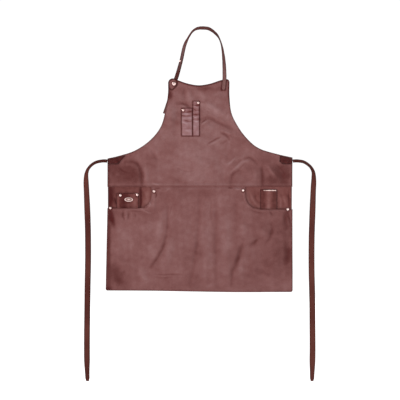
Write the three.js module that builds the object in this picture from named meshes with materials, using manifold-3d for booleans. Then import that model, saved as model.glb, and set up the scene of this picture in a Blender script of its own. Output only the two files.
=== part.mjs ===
// Leather bib apron that hangs by its neck strap, in millimetres.
// The front faces -Y and +Z is up. The origin is the underside of the neck strap at the top of its arch.
import * as THREE from "three";
import { mergeVertices } from "three/addons/utils/BufferGeometryUtils.js";
import Module from "manifold-3d";

const wasm = await Module();
wasm.setup();

// ---- Driving dimensions ----

const GAP = 0.3; // between pieces that touch
const PANEL_T = 1.6; // bib and skirt leather
const POCKET_T = 1.2; // pocket leather
const STRAP_T = 2.0;
const STRAP_W = 16;
const TIE_T = 2.4;
const TIE_W = 24;
const HOLLOW = 4.6; // depth of every pocket's inside

const FOLD_Z = -200; // the neck strap folds here, just above the bib
const WAIST_Z = -635; // the waist seam, about which the skirt folds
const SEAM_R = 2.1; // rolled seam
const SEAM_CLEAR = 2.4; // from the seam's axis to each panel's edge

const SIDE = { left: -378, right: 362 }; // side edges at the waist
const HEM = { left: -385, right: 362.5, leftZ: -1051, rightZ: -1057, corner: 7 };
const TIE_Z = -533; // the ties leave the waist corners here
const TIE_Y = -2.3;

const FACE = PANEL_T / 2; // the panels' front is at -FACE, their back at +FACE

const LEATHER = { color: 0x6e3a34, roughness: 0.52, metalness: 0 };
const DARK_LEATHER = { color: 0x4c1f1b, roughness: 0.5, metalness: 0 };
const ROSE_GOLD = { color: 0xd9a493, roughness: 0.28, metalness: 1 };

// ---- Solids ----

const apron = new THREE.Group();

function addPiece(name, geometry, look) {
  const piece = new THREE.Mesh(geometry, new THREE.MeshStandardMaterial(look));
  piece.name = name;
  apron.add(piece);
  return piece;
}

// A closed three.js geometry as a solid that can be joined and cut.
function toSolid(geometry) {
  const bare = geometry.clone();
  bare.deleteAttribute("normal");
  bare.deleteAttribute("uv");
  const merged = mergeVertices(bare, 1e-4);
  return new wasm.Manifold(
    new wasm.Mesh({
      numProp: 3,
      vertProperties: merged.attributes.position.array,
      triVerts: new Uint32Array(merged.index.array),
    }),
  );
}

function toGeometry(solid) {
  const mesh = solid.getMesh();
  const geometry = new THREE.BufferGeometry();
  geometry.setAttribute("position", new THREE.BufferAttribute(mesh.vertProperties, 3));
  geometry.setIndex(new THREE.BufferAttribute(mesh.triVerts, 1));
  geometry.computeVertexNormals();
  return geometry;
}

// A flat piece whose outline is drawn in X and Z, between two depths in Y.
function plate(shape, yFront, yBack, curveSegments = 6) {
  const geometry = new THREE.ExtrudeGeometry(shape, {
    depth: yBack - yFront,
    bevelEnabled: false,
    curveSegments,
  });
  return geometry.rotateX(Math.PI / 2).translate(0, yBack, 0);
}

function outline(points) {
  return new THREE.Shape(points.map(([x, z]) => new THREE.Vector2(x, z)));
}

function roundedRect(x0, z0, x1, z1, r) {
  const shape = new THREE.Shape();
  shape.absarc(x1 - r, z1 - r, r, 0, Math.PI / 2);
  shape.absarc(x0 + r, z1 - r, r, Math.PI / 2, Math.PI);
  shape.absarc(x0 + r, z0 + r, r, Math.PI, 1.5 * Math.PI);
  shape.absarc(x1 - r, z0 + r, r, 1.5 * Math.PI, 2 * Math.PI);
  return shape;
}

// A round drill along Y, wider than a post by the clearance.
const POST_CLEARANCE = 0.35;

function drill(fastener) {
  const length = 60;
  const r = fastener.postR + POST_CLEARANCE;
  return new THREE.CylinderGeometry(r, r, length, 16).translate(fastener.x, 0, fastener.z);
}

// A flat piece with a hole for each fastener that goes through it.
function drilled(geometry, fasteners) {
  return toGeometry(fasteners.reduce((s, f) => s.subtract(toSolid(drill(f))), toSolid(geometry)));
}

// ---- Fasteners: a domed cap with its post, and a back cap that takes the post's end ----

const RIVET = { capR: 4.8, capH: 1.9, postR: 1.5, backR: 4.4, backH: 1.7 };
const STUD = { capR: 7.2, capH: 3.0, postR: 2.0, backR: 6.4, backH: 2.0 };
const STRAP_STUD = { capR: 5.8, capH: 2.8, postR: 1.6, backR: 5.4, backH: 1.6 };
const SOCKET_FLOOR = 0.6;
const ROUND_SIDES = 20;

function lathe(profile) {
  return new THREE.LatheGeometry(profile.map(([r, y]) => new THREE.Vector2(r, y)), ROUND_SIDES);
}

function capGeometry({ capR, capH, postR, backH }, yFront, yBack) {
  const rim = 0.5;
  const dome = [60, 30, 0].map((deg) => {
    const a = THREE.MathUtils.degToRad(deg);
    return [capR * Math.cos(a), yFront - rim - (capH - rim) * Math.sin(a)];
  });
  const postEnd = yBack + backH - SOCKET_FLOOR - GAP;
  return lathe([
    [0, yFront - capH],
    ...dome,
    [capR, yFront],
    [postR, yFront],
    [postR, postEnd],
    [0, postEnd],
  ]);
}

function backGeometry({ postR, backR, backH }, yBack) {
  const floor = yBack + backH - SOCKET_FLOOR;
  const bore = postR + POST_CLEARANCE;
  return lathe([
    [0, floor],
    [bore, floor],
    [bore, yBack],
    [backR, yBack],
    [backR, yBack + backH - 0.5],
    [backR - 0.8, yBack + backH],
    [0, yBack + backH],
  ]);
}

// The layers it holds lie between yFront and yBack.
function addFastener(name, kind, { x, z }, yFront, yBack) {
  const cap = addPiece(`${name}_cap`, capGeometry(kind, yFront - GAP, yBack + GAP), ROSE_GOLD);
  const back = addPiece(`${name}_back`, backGeometry(kind, yBack + GAP), ROSE_GOLD);
  for (const piece of [cap, back]) piece.position.set(x, 0, z);
}

const at = (kind, x, z) => ({ ...kind, x, z });
const cornerStud = at(STUD, -112, -224);
const penRivets = { wide: at(RIVET, -75.5, -329.5), narrow: at(RIVET, -15.5, -300) };
const hipRivets = {
  left: { inner: at(RIVET, -192, -654), side: at(RIVET, -367, -721) },
  right: { inner: at(RIVET, 164, -650), side: at(RIVET, 343, -726) },
};
const coinRivets = { outer: at(RIVET, -327, -670), inner: at(RIVET, -259.5, -668) };

// ---- Panels ----

const BIB_CORNER = { left: { x: -117, z: -221, r: 18.5 }, right: { x: 98, z: -217.5, r: 12 } };

function splineTo(shape, points) {
  shape.splineThru(points.map(([x, z]) => new THREE.Vector2(x, z)));
}

function bibShape() {
  const { left, right } = BIB_CORNER;
  const shape = new THREE.Shape();
  shape.moveTo(SIDE.left, WAIST_Z + SEAM_CLEAR);
  shape.lineTo(SIDE.left, -523);
  // left armhole, from the waist corner up to the top corner
  splineTo(shape, [
    [-331, -512],
    [-268, -491],
    [-208, -450],
    [-166, -398],
    [-148, -340],
    [-136, -262],
    [left.x - left.r, left.z],
  ]);
  shape.absarc(left.x, left.z, left.r, Math.PI, Math.PI / 2.4, true);
  // scooped top edge
  splineTo(shape, [
    [-88, -213],
    [-50, -225],
    [-11, -230],
    [31, -224],
    [76, -209.5],
    [right.x, right.z + right.r],
  ]);
  shape.absarc(right.x, right.z, right.r, Math.PI / 2, 0, true);
  // right armhole
  splineTo(shape, [
    [110, -277],
    [118, -342],
    [138, -385],
    [172, -434],
    [222, -479],
    [300, -505],
    [SIDE.right, -519],
  ]);
  shape.lineTo(SIDE.right - 1, WAIST_Z + SEAM_CLEAR);
  return shape;
}

// The pocket mouths are cut out of the skirt's upper corners.
const MOUTH = {
  left: { top: -202, floor: -722, bend: [[-203, -679], [-214, -704], [-232, -718], [-262, -722.5]] },
  right: { top: 174, floor: -726, bend: [[175, -679], [186, -704], [204, -719], [234, -726.5]] },
};

function skirtShape() {
  const top = WAIST_Z - SEAM_CLEAR;
  const shape = new THREE.Shape();
  shape.moveTo(MOUTH.left.top, top);
  splineTo(shape, MOUTH.left.bend);
  shape.lineTo(SIDE.left - 0.5, MOUTH.left.floor);
  shape.lineTo(HEM.left, HEM.leftZ + HEM.corner);
  shape.absarc(HEM.left + HEM.corner, HEM.leftZ + HEM.corner, HEM.corner, Math.PI, 1.5 * Math.PI);
  splineTo(shape, [
    [-180, -1052.5],
    [120, -1057.5],
    [HEM.right - HEM.corner, HEM.rightZ],
  ]);
  shape.absarc(HEM.right - HEM.corner, HEM.rightZ + HEM.corner, HEM.corner, 1.5 * Math.PI, 2 * Math.PI);
  shape.lineTo(SIDE.right, MOUTH.right.floor);
  splineTo(shape, [...MOUTH.right.bend].reverse());
  shape.splineThru([new THREE.Vector2(MOUTH.right.top, top)]);
  return shape;
}

function addPanels() {
  const bibHoles = [cornerStud, penRivets.wide, penRivets.narrow];
  addPiece("bib_panel", drilled(plate(bibShape(), -FACE, FACE), bibHoles), LEATHER);

  const skirtHoles = ["left", "right"].flatMap((side) => Object.values(hipRivets[side]));
  addPiece("skirt_panel", drilled(plate(skirtShape(), -FACE, FACE), skirtHoles), LEATHER);

  const length = SIDE.right - SIDE.left - 4;
  const seam = new THREE.CylinderGeometry(SEAM_R, SEAM_R, length, 12).rotateZ(Math.PI / 2);
  addPiece("waist_seam", seam, DARK_LEATHER).position.set((SIDE.left + SIDE.right) / 2, 0, WAIST_Z);
}

// ---- Patch pockets: a face held off what is behind it by walls at the sides and the bottom ----

const WALL = 1.6;

// Solid corners, where a rivet goes through, are given by their width and height.
function patchPocket({ x0, x1, top, bottom, yFace, corners = {}, rivets = [] }) {
  const yBack = yFace + POCKET_T + HOLLOW;
  const left = corners.left ?? { w: WALL, h: WALL };
  const right = corners.right ?? { w: WALL, h: WALL };
  const rim = outline([
    [x0, top],
    [x0, bottom],
    [x1, bottom],
    [x1, top],
    [x1 - right.w, top],
    [x1 - right.w, top - right.h],
    [x1 - WALL, top - right.h - 1],
    [x1 - WALL, bottom + WALL],
    [x0 + WALL, bottom + WALL],
    [x0 + WALL, top - left.h - 1],
    [x0 + left.w, top - left.h],
    [x0 + left.w, top],
  ]);
  const face = roundedRect(x0, bottom, x1, top, 0.8);
  const both = toSolid(plate(rim, yFace + POCKET_T / 2, yBack)).add(
    toSolid(plate(face, yFace, yFace + POCKET_T)),
  );
  return drilled(toGeometry(both), rivets);
}

const PEN = { left: -82.5, middle: -37.5, right: -9.5, wideTop: -322, narrowTop: -293.5, bottom: -434 };
const PEN_FACE_Y = -FACE - GAP - HOLLOW - POCKET_T;

function addPenPockets() {
  const wide = {
    x0: PEN.left,
    x1: PEN.middle - GAP / 2,
    top: PEN.wideTop,
    bottom: PEN.bottom,
    yFace: PEN_FACE_Y,
    corners: { left: { w: 13, h: 13 } },
    rivets: [penRivets.wide],
  };
  const narrow = {
    x0: PEN.middle + GAP / 2,
    x1: PEN.right,
    top: PEN.narrowTop,
    bottom: PEN.bottom,
    yFace: PEN_FACE_Y,
    corners: { right: { w: 12, h: 13 } },
    rivets: [penRivets.narrow],
  };
  addPiece("pen_pocket_wide", patchPocket(wide), LEATHER);
  addPiece("pen_pocket_narrow", patchPocket(narrow), LEATHER);
  addFastener("pen_rivet_wide", RIVET, penRivets.wide, PEN_FACE_Y, FACE);
  addFastener("pen_rivet_narrow", RIVET, penRivets.narrow, PEN_FACE_Y, FACE);
}

// ---- Hip pockets, behind the skirt ----

const HIP_TOP = WAIST_Z - 10; // leaves room for the skirt to fold back
const COIN_FACE_Y = FACE + HOLLOW;
const HIP_BACK_Y = COIN_FACE_Y + POCKET_T + HOLLOW + GAP;
const HIP = {
  left: { x0: -361, x1: -200, flange0: -377, flange1: -183, bottom: -880 },
  right: { x0: 172, x1: 336, flange0: 155, flange1: 360, bottom: -880 },
};
const FLANGE_BELOW = 12;

function uShape({ x0, x1, bottom }, wall) {
  return outline([
    [x0, HIP_TOP],
    [x0, bottom],
    [x1, bottom],
    [x1, HIP_TOP],
    [x1 - wall.right, HIP_TOP],
    [x1 - wall.right, bottom + wall.bottom],
    [x0 + wall.left, bottom + wall.bottom],
    [x0 + wall.left, HIP_TOP],
  ]);
}

// The side and bottom walls of the bag, with a flat flange that is sewn to the skirt's back.
function hipRim(side) {
  const bag = HIP[side];
  const yFlange = FACE + GAP;
  const walls = uShape(bag, { left: WALL, right: WALL, bottom: WALL });
  const flange = uShape(
    { x0: bag.flange0, x1: bag.flange1, bottom: bag.bottom - FLANGE_BELOW },
    {
      left: bag.x0 + WALL - bag.flange0,
      right: bag.flange1 - bag.x1 + WALL,
      bottom: FLANGE_BELOW + WALL,
    },
  );
  const both = toSolid(plate(walls, yFlange, HIP_BACK_Y - GAP)).add(
    toSolid(plate(flange, yFlange, yFlange + POCKET_T)),
  );
  return drilled(toGeometry(both), Object.values(hipRivets[side]));
}

const COIN = {
  left: {
    x0: -343,
    x1: -253.5,
    top: -661.5,
    bottom: -762,
    yFace: COIN_FACE_Y,
    corners: { left: { w: 22, h: 15 }, right: { w: 12, h: 13 } },
    rivets: Object.values(coinRivets),
  },
  right: { x0: 233, x1: 301, top: -647, bottom: -762, yFace: COIN_FACE_Y },
};

function addHipPockets() {
  for (const side of ["left", "right"]) {
    const { x0, x1, bottom } = HIP[side];
    const back = roundedRect(x0, bottom, x1, HIP_TOP, 6);
    const backHoles = side === "left" ? Object.values(coinRivets) : [];
    const backPlate = plate(back, HIP_BACK_Y, HIP_BACK_Y + POCKET_T);
    addPiece(`hip_pocket_back_${side}`, drilled(backPlate, backHoles), LEATHER);
    addPiece(`hip_pocket_rim_${side}`, hipRim(side), DARK_LEATHER);
    addPiece(`coin_pocket_${side}`, patchPocket(COIN[side]), LEATHER);
    for (const [place, rivet] of Object.entries(hipRivets[side]))
      addFastener(`hip_rivet_${side}_${place}`, RIVET, rivet, -FACE, FACE + GAP + POCKET_T);
  }
  for (const [place, rivet] of Object.entries(coinRivets))
    addFastener(`coin_rivet_${place}`, RIVET, rivet, COIN_FACE_Y, HIP_BACK_Y + POCKET_T);
}

const BADGE = { x: -293, z: -687, w: 34, h: 17, t: 1.2 };
const BAR = { x0: 245, x1: 297, z: -650.5, h: 6, t: 2.2 };

function addTrim() {
  const front = COIN_FACE_Y - GAP;
  const oval = new THREE.Shape();
  oval.absellipse(BADGE.x, BADGE.z, BADGE.w / 2, BADGE.h / 2, 0, 2 * Math.PI);
  addPiece("pocket_badge", plate(oval, front - BADGE.t, front, 16), ROSE_GOLD);
  const bar = roundedRect(BAR.x0, BAR.z - BAR.h / 2, BAR.x1, BAR.z + BAR.h / 2, BAR.h / 2 - 0.1);
  addPiece("pocket_bar", plate(bar, front - BAR.t, front), ROSE_GOLD);
}

// ---- Flat straps that turn about their own length ----

const ALONG_Y = new THREE.Vector3(0, 1, 0);

// The strap's directions where its path runs along `tangent` and it is turned by `deg`:
// 0 and 180 face the front with opposite sides, 90 stands edge-on to the front.
function strapFrame(tangent, deg) {
  const a = THREE.MathUtils.degToRad(deg);
  const inPlane = new THREE.Vector3().crossVectors(ALONG_Y, tangent).normalize();
  const wide = inPlane.multiplyScalar(Math.cos(a)).addScaledVector(ALONG_Y, Math.sin(a)).normalize();
  const thick = new THREE.Vector3().crossVectors(tangent, wide).normalize();
  return { wide, thick };
}

// Corner-cut section of a strap, as parts of its half width and half thickness.
const SECTION = [
  [-1, -0.4],
  [-0.96, -1],
  [0.96, -1],
  [1, -0.4],
  [1, 0.4],
  [0.96, 1],
  [-0.96, 1],
  [-1, 0.4],
];

// Stations are { point, tangent, turn, width }; the result is one closed body.
function strap(stations, thickness) {
  const n = SECTION.length;
  const vertices = [];
  for (const { point, tangent, turn, width } of stations) {
    const { wide, thick } = strapFrame(tangent, turn);
    for (const [u, v] of SECTION) {
      const p = point
        .clone()
        .addScaledVector(wide, (u * width) / 2)
        .addScaledVector(thick, (v * thickness) / 2);
      vertices.push(p.x, p.y, p.z);
    }
  }
  const faces = [];
  for (let s = 0; s < stations.length - 1; s++)
    for (let i = 0; i < n; i++) {
      const a = s * n + i;
      const b = s * n + ((i + 1) % n);
      faces.push(a, b, b + n, a, b + n, a + n);
    }
  const last = (stations.length - 1) * n;
  for (let i = 1; i < n - 1; i++) {
    faces.push(0, i + 1, i);
    faces.push(last, last + i, last + i + 1);
  }
  const geometry = new THREE.BufferGeometry();
  geometry.setAttribute("position", new THREE.Float32BufferAttribute(vertices, 3));
  geometry.setIndex(faces);
  geometry.computeVertexNormals();
  return geometry;
}

// A number read off a list of [place, value] pairs, with a smooth step between them.
function along(list, place) {
  const i = list.findIndex(([p]) => p >= place);
  if (i <= 0) return i === 0 ? list[0][1] : list[list.length - 1][1];
  const [p0, v0] = list[i - 1];
  const [p1, v1] = list[i];
  const t = (place - p0) / (p1 - p0);
  return v0 + (v1 - v0) * t * t * (3 - 2 * t);
}

// With `crowd` over 1 the stations stand closer together near the start.
function stationsOn(curve, count, turnAt, widthAt, crowd = 1) {
  return Array.from({ length: count + 1 }, (_, i) => {
    const u = (i / count) ** crowd;
    return {
      point: curve.getPointAt(u),
      tangent: curve.getTangentAt(u),
      turn: turnAt(u),
      width: widthAt(u),
    };
  });
}

function curveThrough(points) {
  return new THREE.CatmullRomCurve3(points.map(([x, y, z]) => new THREE.Vector3(x, y, z)));
}

// ---- Neck strap ----

const STRAP_Y = FACE + GAP + STRAP_T / 2; // behind the bib on the left, in front of it on the right
const APEX_FLAT = 8; // half of the straight length at the very top
const STRAP_TOP = STRAP_T / 2;

const LEFT_ARM = [
  [-101.5, STRAP_Y, FOLD_Z + 4],
  [-83.5, STRAP_Y, -132],
  [-69.5, 1.8, -71],
  [-57, 1.4, -43],
  [-37, 0.8, -13],
  [-22, 0.3, -2.2],
  [-APEX_FLAT, 0, STRAP_TOP],
];
const RIGHT_ARM = [
  [APEX_FLAT, 0, STRAP_TOP],
  [25, -0.3, -1.6],
  [44, -0.8, -13],
  [63, -1.2, -33],
  [74, -1.5, -55],
  [81.5, -1.8, -83],
  [88, -STRAP_Y, -137],
  [90, -STRAP_Y, FOLD_Z + 1],
];
const LEFT_TURN = [
  [0, 180],
  [0.3, 140],
  [0.62, 120],
  [0.85, 95],
  [1, 90],
];
const RIGHT_TURN = [
  [0, 90],
  [0.45, 92],
  [0.65, 120],
  [0.8, 145],
  [1, 180],
];
const STRAP_STUD_AT = 0.285; // along the left arm

function neckStations() {
  const width = () => STRAP_W;
  const left = stationsOn(curveThrough(LEFT_ARM), 26, (u) => along(LEFT_TURN, u), width);
  const right = stationsOn(curveThrough(RIGHT_ARM), 28, (u) => along(RIGHT_TURN, u), width);
  // the top is level, so that the strap rests flat on a peg
  left[left.length - 1].tangent = new THREE.Vector3(1, 0, 0);
  right[0].tangent = new THREE.Vector3(1, 0, 0);
  return [...left, ...right];
}

// Turns a geometry made round the Y axis at the origin so that -Y points out of the strap's outer face.
function onStrap(geometry) {
  const curve = curveThrough(LEFT_ARM);
  const tangent = curve.getTangentAt(STRAP_STUD_AT);
  const { wide, thick } = strapFrame(tangent, along(LEFT_TURN, STRAP_STUD_AT));
  const point = curve.getPointAt(STRAP_STUD_AT);
  const axes = new THREE.Matrix4().makeBasis(wide, thick.negate(), tangent.clone().negate());
  return geometry.applyMatrix4(axes.setPosition(point));
}

function addNeckLoop() {
  const hole = onStrap(drill({ ...STRAP_STUD, x: 0, z: 0 }));
  const loop = toSolid(strap(neckStations(), STRAP_T)).subtract(toSolid(hole));
  addPiece("neck_strap", toGeometry(loop), LEATHER);
  const yFace = STRAP_T / 2 + GAP + 0.1;
  addPiece("strap_stud_cap", onStrap(capGeometry(STRAP_STUD, -yFace, yFace)), ROSE_GOLD);
  addPiece("strap_stud_back", onStrap(backGeometry(STRAP_STUD, yFace)), ROSE_GOLD);
}

// The strap's tail runs straight down behind the bib, and its other end lies on the front.
// Both start a little below the fold, clear of the loop's own ends when it folds.
const TAIL = { top: [-106, FOLD_Z - 6.8], end: [-149, -344] };
const FRONT_END = { top: [90, FOLD_Z - 4.5], end: [85.5, -249] };

function strapEnd({ top, end }, roundEnd) {
  const length = Math.hypot(end[0] - top[0], end[1] - top[1]);
  const half = STRAP_W / 2;
  const shape = new THREE.Shape();
  shape.moveTo(-half, 0);
  if (roundEnd) {
    shape.lineTo(-half, half - length);
    shape.absarc(0, half - length, half, Math.PI, 2 * Math.PI);
  } else {
    shape.lineTo(-half, -length);
    shape.lineTo(half, -length);
  }
  shape.lineTo(half, 0);
  const lean = Math.atan2(end[0] - top[0], top[1] - end[1]);
  return plate(shape, -STRAP_T / 2, STRAP_T / 2, 8)
    .rotateY(-lean)
    .translate(top[0], 0, top[1]);
}

function addStrapEnds() {
  const tail = strapEnd(TAIL, false).translate(0, STRAP_Y, 0);
  addPiece("strap_end_left", drilled(tail, [cornerStud]), LEATHER);
  addPiece("strap_end_right", strapEnd(FRONT_END, true).translate(0, -STRAP_Y, 0), LEATHER);

  const { x, z, r } = BIB_CORNER.left;
  const disc = new THREE.Shape();
  disc.absarc(x + 1.5, z - 1.5, r - 0.8, 0, 2 * Math.PI);
  const tabBack = -FACE - GAP;
  const tab = plate(disc, tabBack - PANEL_T, tabBack, 12);
  addPiece("corner_tab", drilled(tab, [cornerStud]), LEATHER);
  addFastener("corner_stud", STUD, cornerStud, tabBack - PANEL_T, STRAP_Y + STRAP_T / 2);
}

// ---- Waist ties ----

const TIE_EXIT_GAP = 0.6;
const LEFT_TIE = [
  [SIDE.left - TIE_EXIT_GAP, TIE_Y, TIE_Z],
  [-391, TIE_Y, TIE_Z + 0.8],
  [-406, TIE_Y, TIE_Z - 0.6],
  [-424, TIE_Y, -538],
  [-443, TIE_Y, -550],
  [-456, TIE_Y, -566],
  [-462, TIE_Y, -583],
  [-463.5, TIE_Y, -602],
  [-462, TIE_Y, -650],
  [-458.5, TIE_Y, -730],
  [-456, TIE_Y, -810],
  [-455.5, TIE_Y, -930],
  [-457.5, TIE_Y, -1040],
  [-459, TIE_Y, -1150],
  [-460, TIE_Y, -1260],
  [-459.5, TIE_Y, -1350],
  [-457.5, TIE_Y, -1413],
];
const RIGHT_TIE = [
  [SIDE.right + TIE_EXIT_GAP, TIE_Y, TIE_Z],
  [375, TIE_Y, TIE_Z + 0.8],
  [389, TIE_Y, TIE_Z],
  [405, TIE_Y, -536],
  [422, TIE_Y, -545.5],
  [436, TIE_Y, -559],
  [445, TIE_Y, -577],
  [447, TIE_Y, -600],
  [445, TIE_Y, -650],
  [441.5, TIE_Y, -740],
  [438.5, TIE_Y, -840],
  [438, TIE_Y, -960],
  [440.5, TIE_Y, -1070],
  [441.5, TIE_Y, -1180],
  [442, TIE_Y, -1290],
  [440, TIE_Y, -1413],
];
// Turned on edge round the bend, then facing the front.
const TIE_TURN = [
  [0, 62],
  [0.08, 62],
  [0.17, 22],
  [0.3, 0],
  [1, 0],
];
const TIE_TIP = [
  [0, TIE_W],
  [0.97, TIE_W],
  [1, TIE_W * 0.72],
];
const TIE_STEPS = 56;
const TIE_CROWD = 1.5;

function tie(points, turnSign) {
  const turn = (u) => turnSign * along(TIE_TURN, u);
  const width = (u) => along(TIE_TIP, u);
  return strap(stationsOn(curveThrough(points), TIE_STEPS, turn, width, TIE_CROWD), TIE_T);
}

// The sewn end of each tie, cut to follow the armhole's edge.
const ANCHOR_FOOT = TIE_Z - 13;
const ANCHOR = {
  left: [
    [SIDE.left + 0.5, ANCHOR_FOOT],
    [-336, ANCHOR_FOOT],
    [-306, -510.5],
    [-331, -516.5],
    [SIDE.left + 0.5, -527.5],
  ],
  right: [
    [SIDE.right - 0.5, ANCHOR_FOOT],
    [SIDE.right - 0.5, -523.5],
    [312, -512.5],
    [310, -534],
    [322, ANCHOR_FOOT],
  ],
};

function addTies() {
  addPiece("tie_left", tie(LEFT_TIE, -1), LEATHER);
  addPiece("tie_right", tie(RIGHT_TIE, 1), LEATHER);
  const yBack = -FACE - GAP;
  for (const side of ["left", "right"]) {
    addPiece(`tie_anchor_${side}`, plate(outline(ANCHOR[side]), yBack - TIE_T, yBack), DARK_LEATHER);
  }
}

addNeckLoop();
addStrapEnds();
addPanels();
addPenPockets();
addHipPockets();
addTrim();
addTies();

export default apron;
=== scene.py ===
import math

import bpy
import numpy as np
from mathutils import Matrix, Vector
from mathutils.geometry import delaunay_2d_cdt


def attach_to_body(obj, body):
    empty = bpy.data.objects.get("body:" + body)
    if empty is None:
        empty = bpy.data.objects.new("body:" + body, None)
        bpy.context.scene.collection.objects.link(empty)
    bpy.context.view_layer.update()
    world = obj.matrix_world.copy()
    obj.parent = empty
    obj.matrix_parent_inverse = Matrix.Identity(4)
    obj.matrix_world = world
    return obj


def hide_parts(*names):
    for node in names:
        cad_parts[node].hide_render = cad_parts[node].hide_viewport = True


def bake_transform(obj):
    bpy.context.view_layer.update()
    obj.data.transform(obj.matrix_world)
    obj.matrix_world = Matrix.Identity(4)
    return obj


# Leather bib apron, hanging by its neck strap. The front faces -Y and +Z is up.
# Shapes are worked out in millimetres and put into Blender in metres.

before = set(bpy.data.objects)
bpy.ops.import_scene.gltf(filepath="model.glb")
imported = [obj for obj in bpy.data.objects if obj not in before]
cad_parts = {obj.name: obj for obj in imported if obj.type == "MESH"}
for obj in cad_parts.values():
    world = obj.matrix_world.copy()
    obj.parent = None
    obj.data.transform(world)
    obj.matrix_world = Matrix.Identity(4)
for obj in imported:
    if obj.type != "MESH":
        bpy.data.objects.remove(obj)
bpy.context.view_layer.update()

MM = 0.001

# ---- Driving dimensions, in millimetres, as in the CAD model ----

PANEL_T = 1.6
POCKET_T = 1.2
STRAP_T = 2.0
STRAP_W = 16.0
TIE_T = 2.4
TIE_W = 24.0
GAP = 0.3
FOLD_Z = -200.0
WAIST_Z = -635.0
SIDE_LEFT = -378.0
SIDE_RIGHT = 362.0
TIE_Z = -533.0
TIE_Y = -2.3


# ---- Camera, floor and light ----

CAMERA_DISTANCE = 3.5
CAMERA_AIM = (-0.008, -0.689)
SEEN_WIDTH = 1.6
SEEN_WHITE = 1.05
AMBIENT = 0.33
FLOOR_Z = -1.45
FLOOR_HALF_SIDE = 30.0
# name, place, what it points at, diameter and watts
LIGHTS = [
    ("key", (-2.6, -1.9, 1.1), (0, 0, -0.65), 0.9, 62),
    ("fill", (1.7, -3.0, 0.1), (0, 0, -0.7), 1.8, 20),
    ("back", (0.6, 3.0, 0.2), (0, 0, -0.7), 2.4, 26),
]


def make_camera():
    data = bpy.data.cameras.new("camera")
    camera = bpy.data.objects.new("camera", data)
    bpy.context.scene.collection.objects.link(camera)
    camera.location = (CAMERA_AIM[0], -CAMERA_DISTANCE, CAMERA_AIM[1])
    camera.rotation_euler = (math.radians(90), 0, 0)
    data.lens = data.sensor_width * CAMERA_DISTANCE / SEEN_WIDTH
    bpy.context.scene.camera = camera


def make_area_light(name, place, target, size, watts):
    data = bpy.data.lights.new(name, "AREA")
    data.shape = "DISK"
    data.size = size
    data.energy = watts
    light = bpy.data.objects.new(name, data)
    bpy.context.scene.collection.objects.link(light)
    light.location = place
    light.rotation_euler = (Vector(target) - Vector(place)).to_track_quat("-Z", "Y").to_euler()


def make_world():
    """A white world: the camera sees it brighter than it lights the apron."""
    world = bpy.data.worlds.new("studio")
    bpy.context.scene.world = world
    world.use_nodes = True
    nodes = world.node_tree.nodes
    links = world.node_tree.links
    background = nodes["Background"]
    background.inputs["Color"].default_value = (1, 1, 1, 1)
    path = nodes.new("ShaderNodeLightPath")
    strength = nodes.new("ShaderNodeMapRange")
    strength.inputs["To Min"].default_value = AMBIENT
    strength.inputs["To Max"].default_value = SEEN_WHITE
    links.new(path.outputs["Is Camera Ray"], strength.inputs["Value"])
    links.new(strength.outputs["Result"], background.inputs["Strength"])


def make_floor():
    corners = ((-1, -1), (1, -1), (1, 1), (-1, 1))
    vertices = [(x * FLOOR_HALF_SIDE, y * FLOOR_HALF_SIDE, FLOOR_Z) for x, y in corners]
    mesh = bpy.data.meshes.new("floor")
    mesh.from_pydata(vertices, [], [(0, 1, 2, 3)])
    floor = bpy.data.objects.new("floor", mesh)
    bpy.context.scene.collection.objects.link(floor)
    material = bpy.data.materials.new("floor_white")
    material.use_nodes = True
    shader = material.node_tree.nodes["Principled BSDF"]
    shader.inputs["Base Color"].default_value = (0.86, 0.86, 0.86, 1)
    shader.inputs["Roughness"].default_value = 0.9
    shader.inputs["Specular IOR Level"].default_value = 0.0
    shader.inputs["Emission Color"].default_value = (1, 1, 1, 1)
    shader.inputs["Emission Strength"].default_value = 0.85
    mesh.materials.append(material)


def make_studio():
    make_camera()
    make_world()
    make_floor()
    for light in LIGHTS:
        make_area_light(*light)
    bpy.context.scene.view_settings.view_transform = "Standard"


# ---- Materials ----

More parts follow.
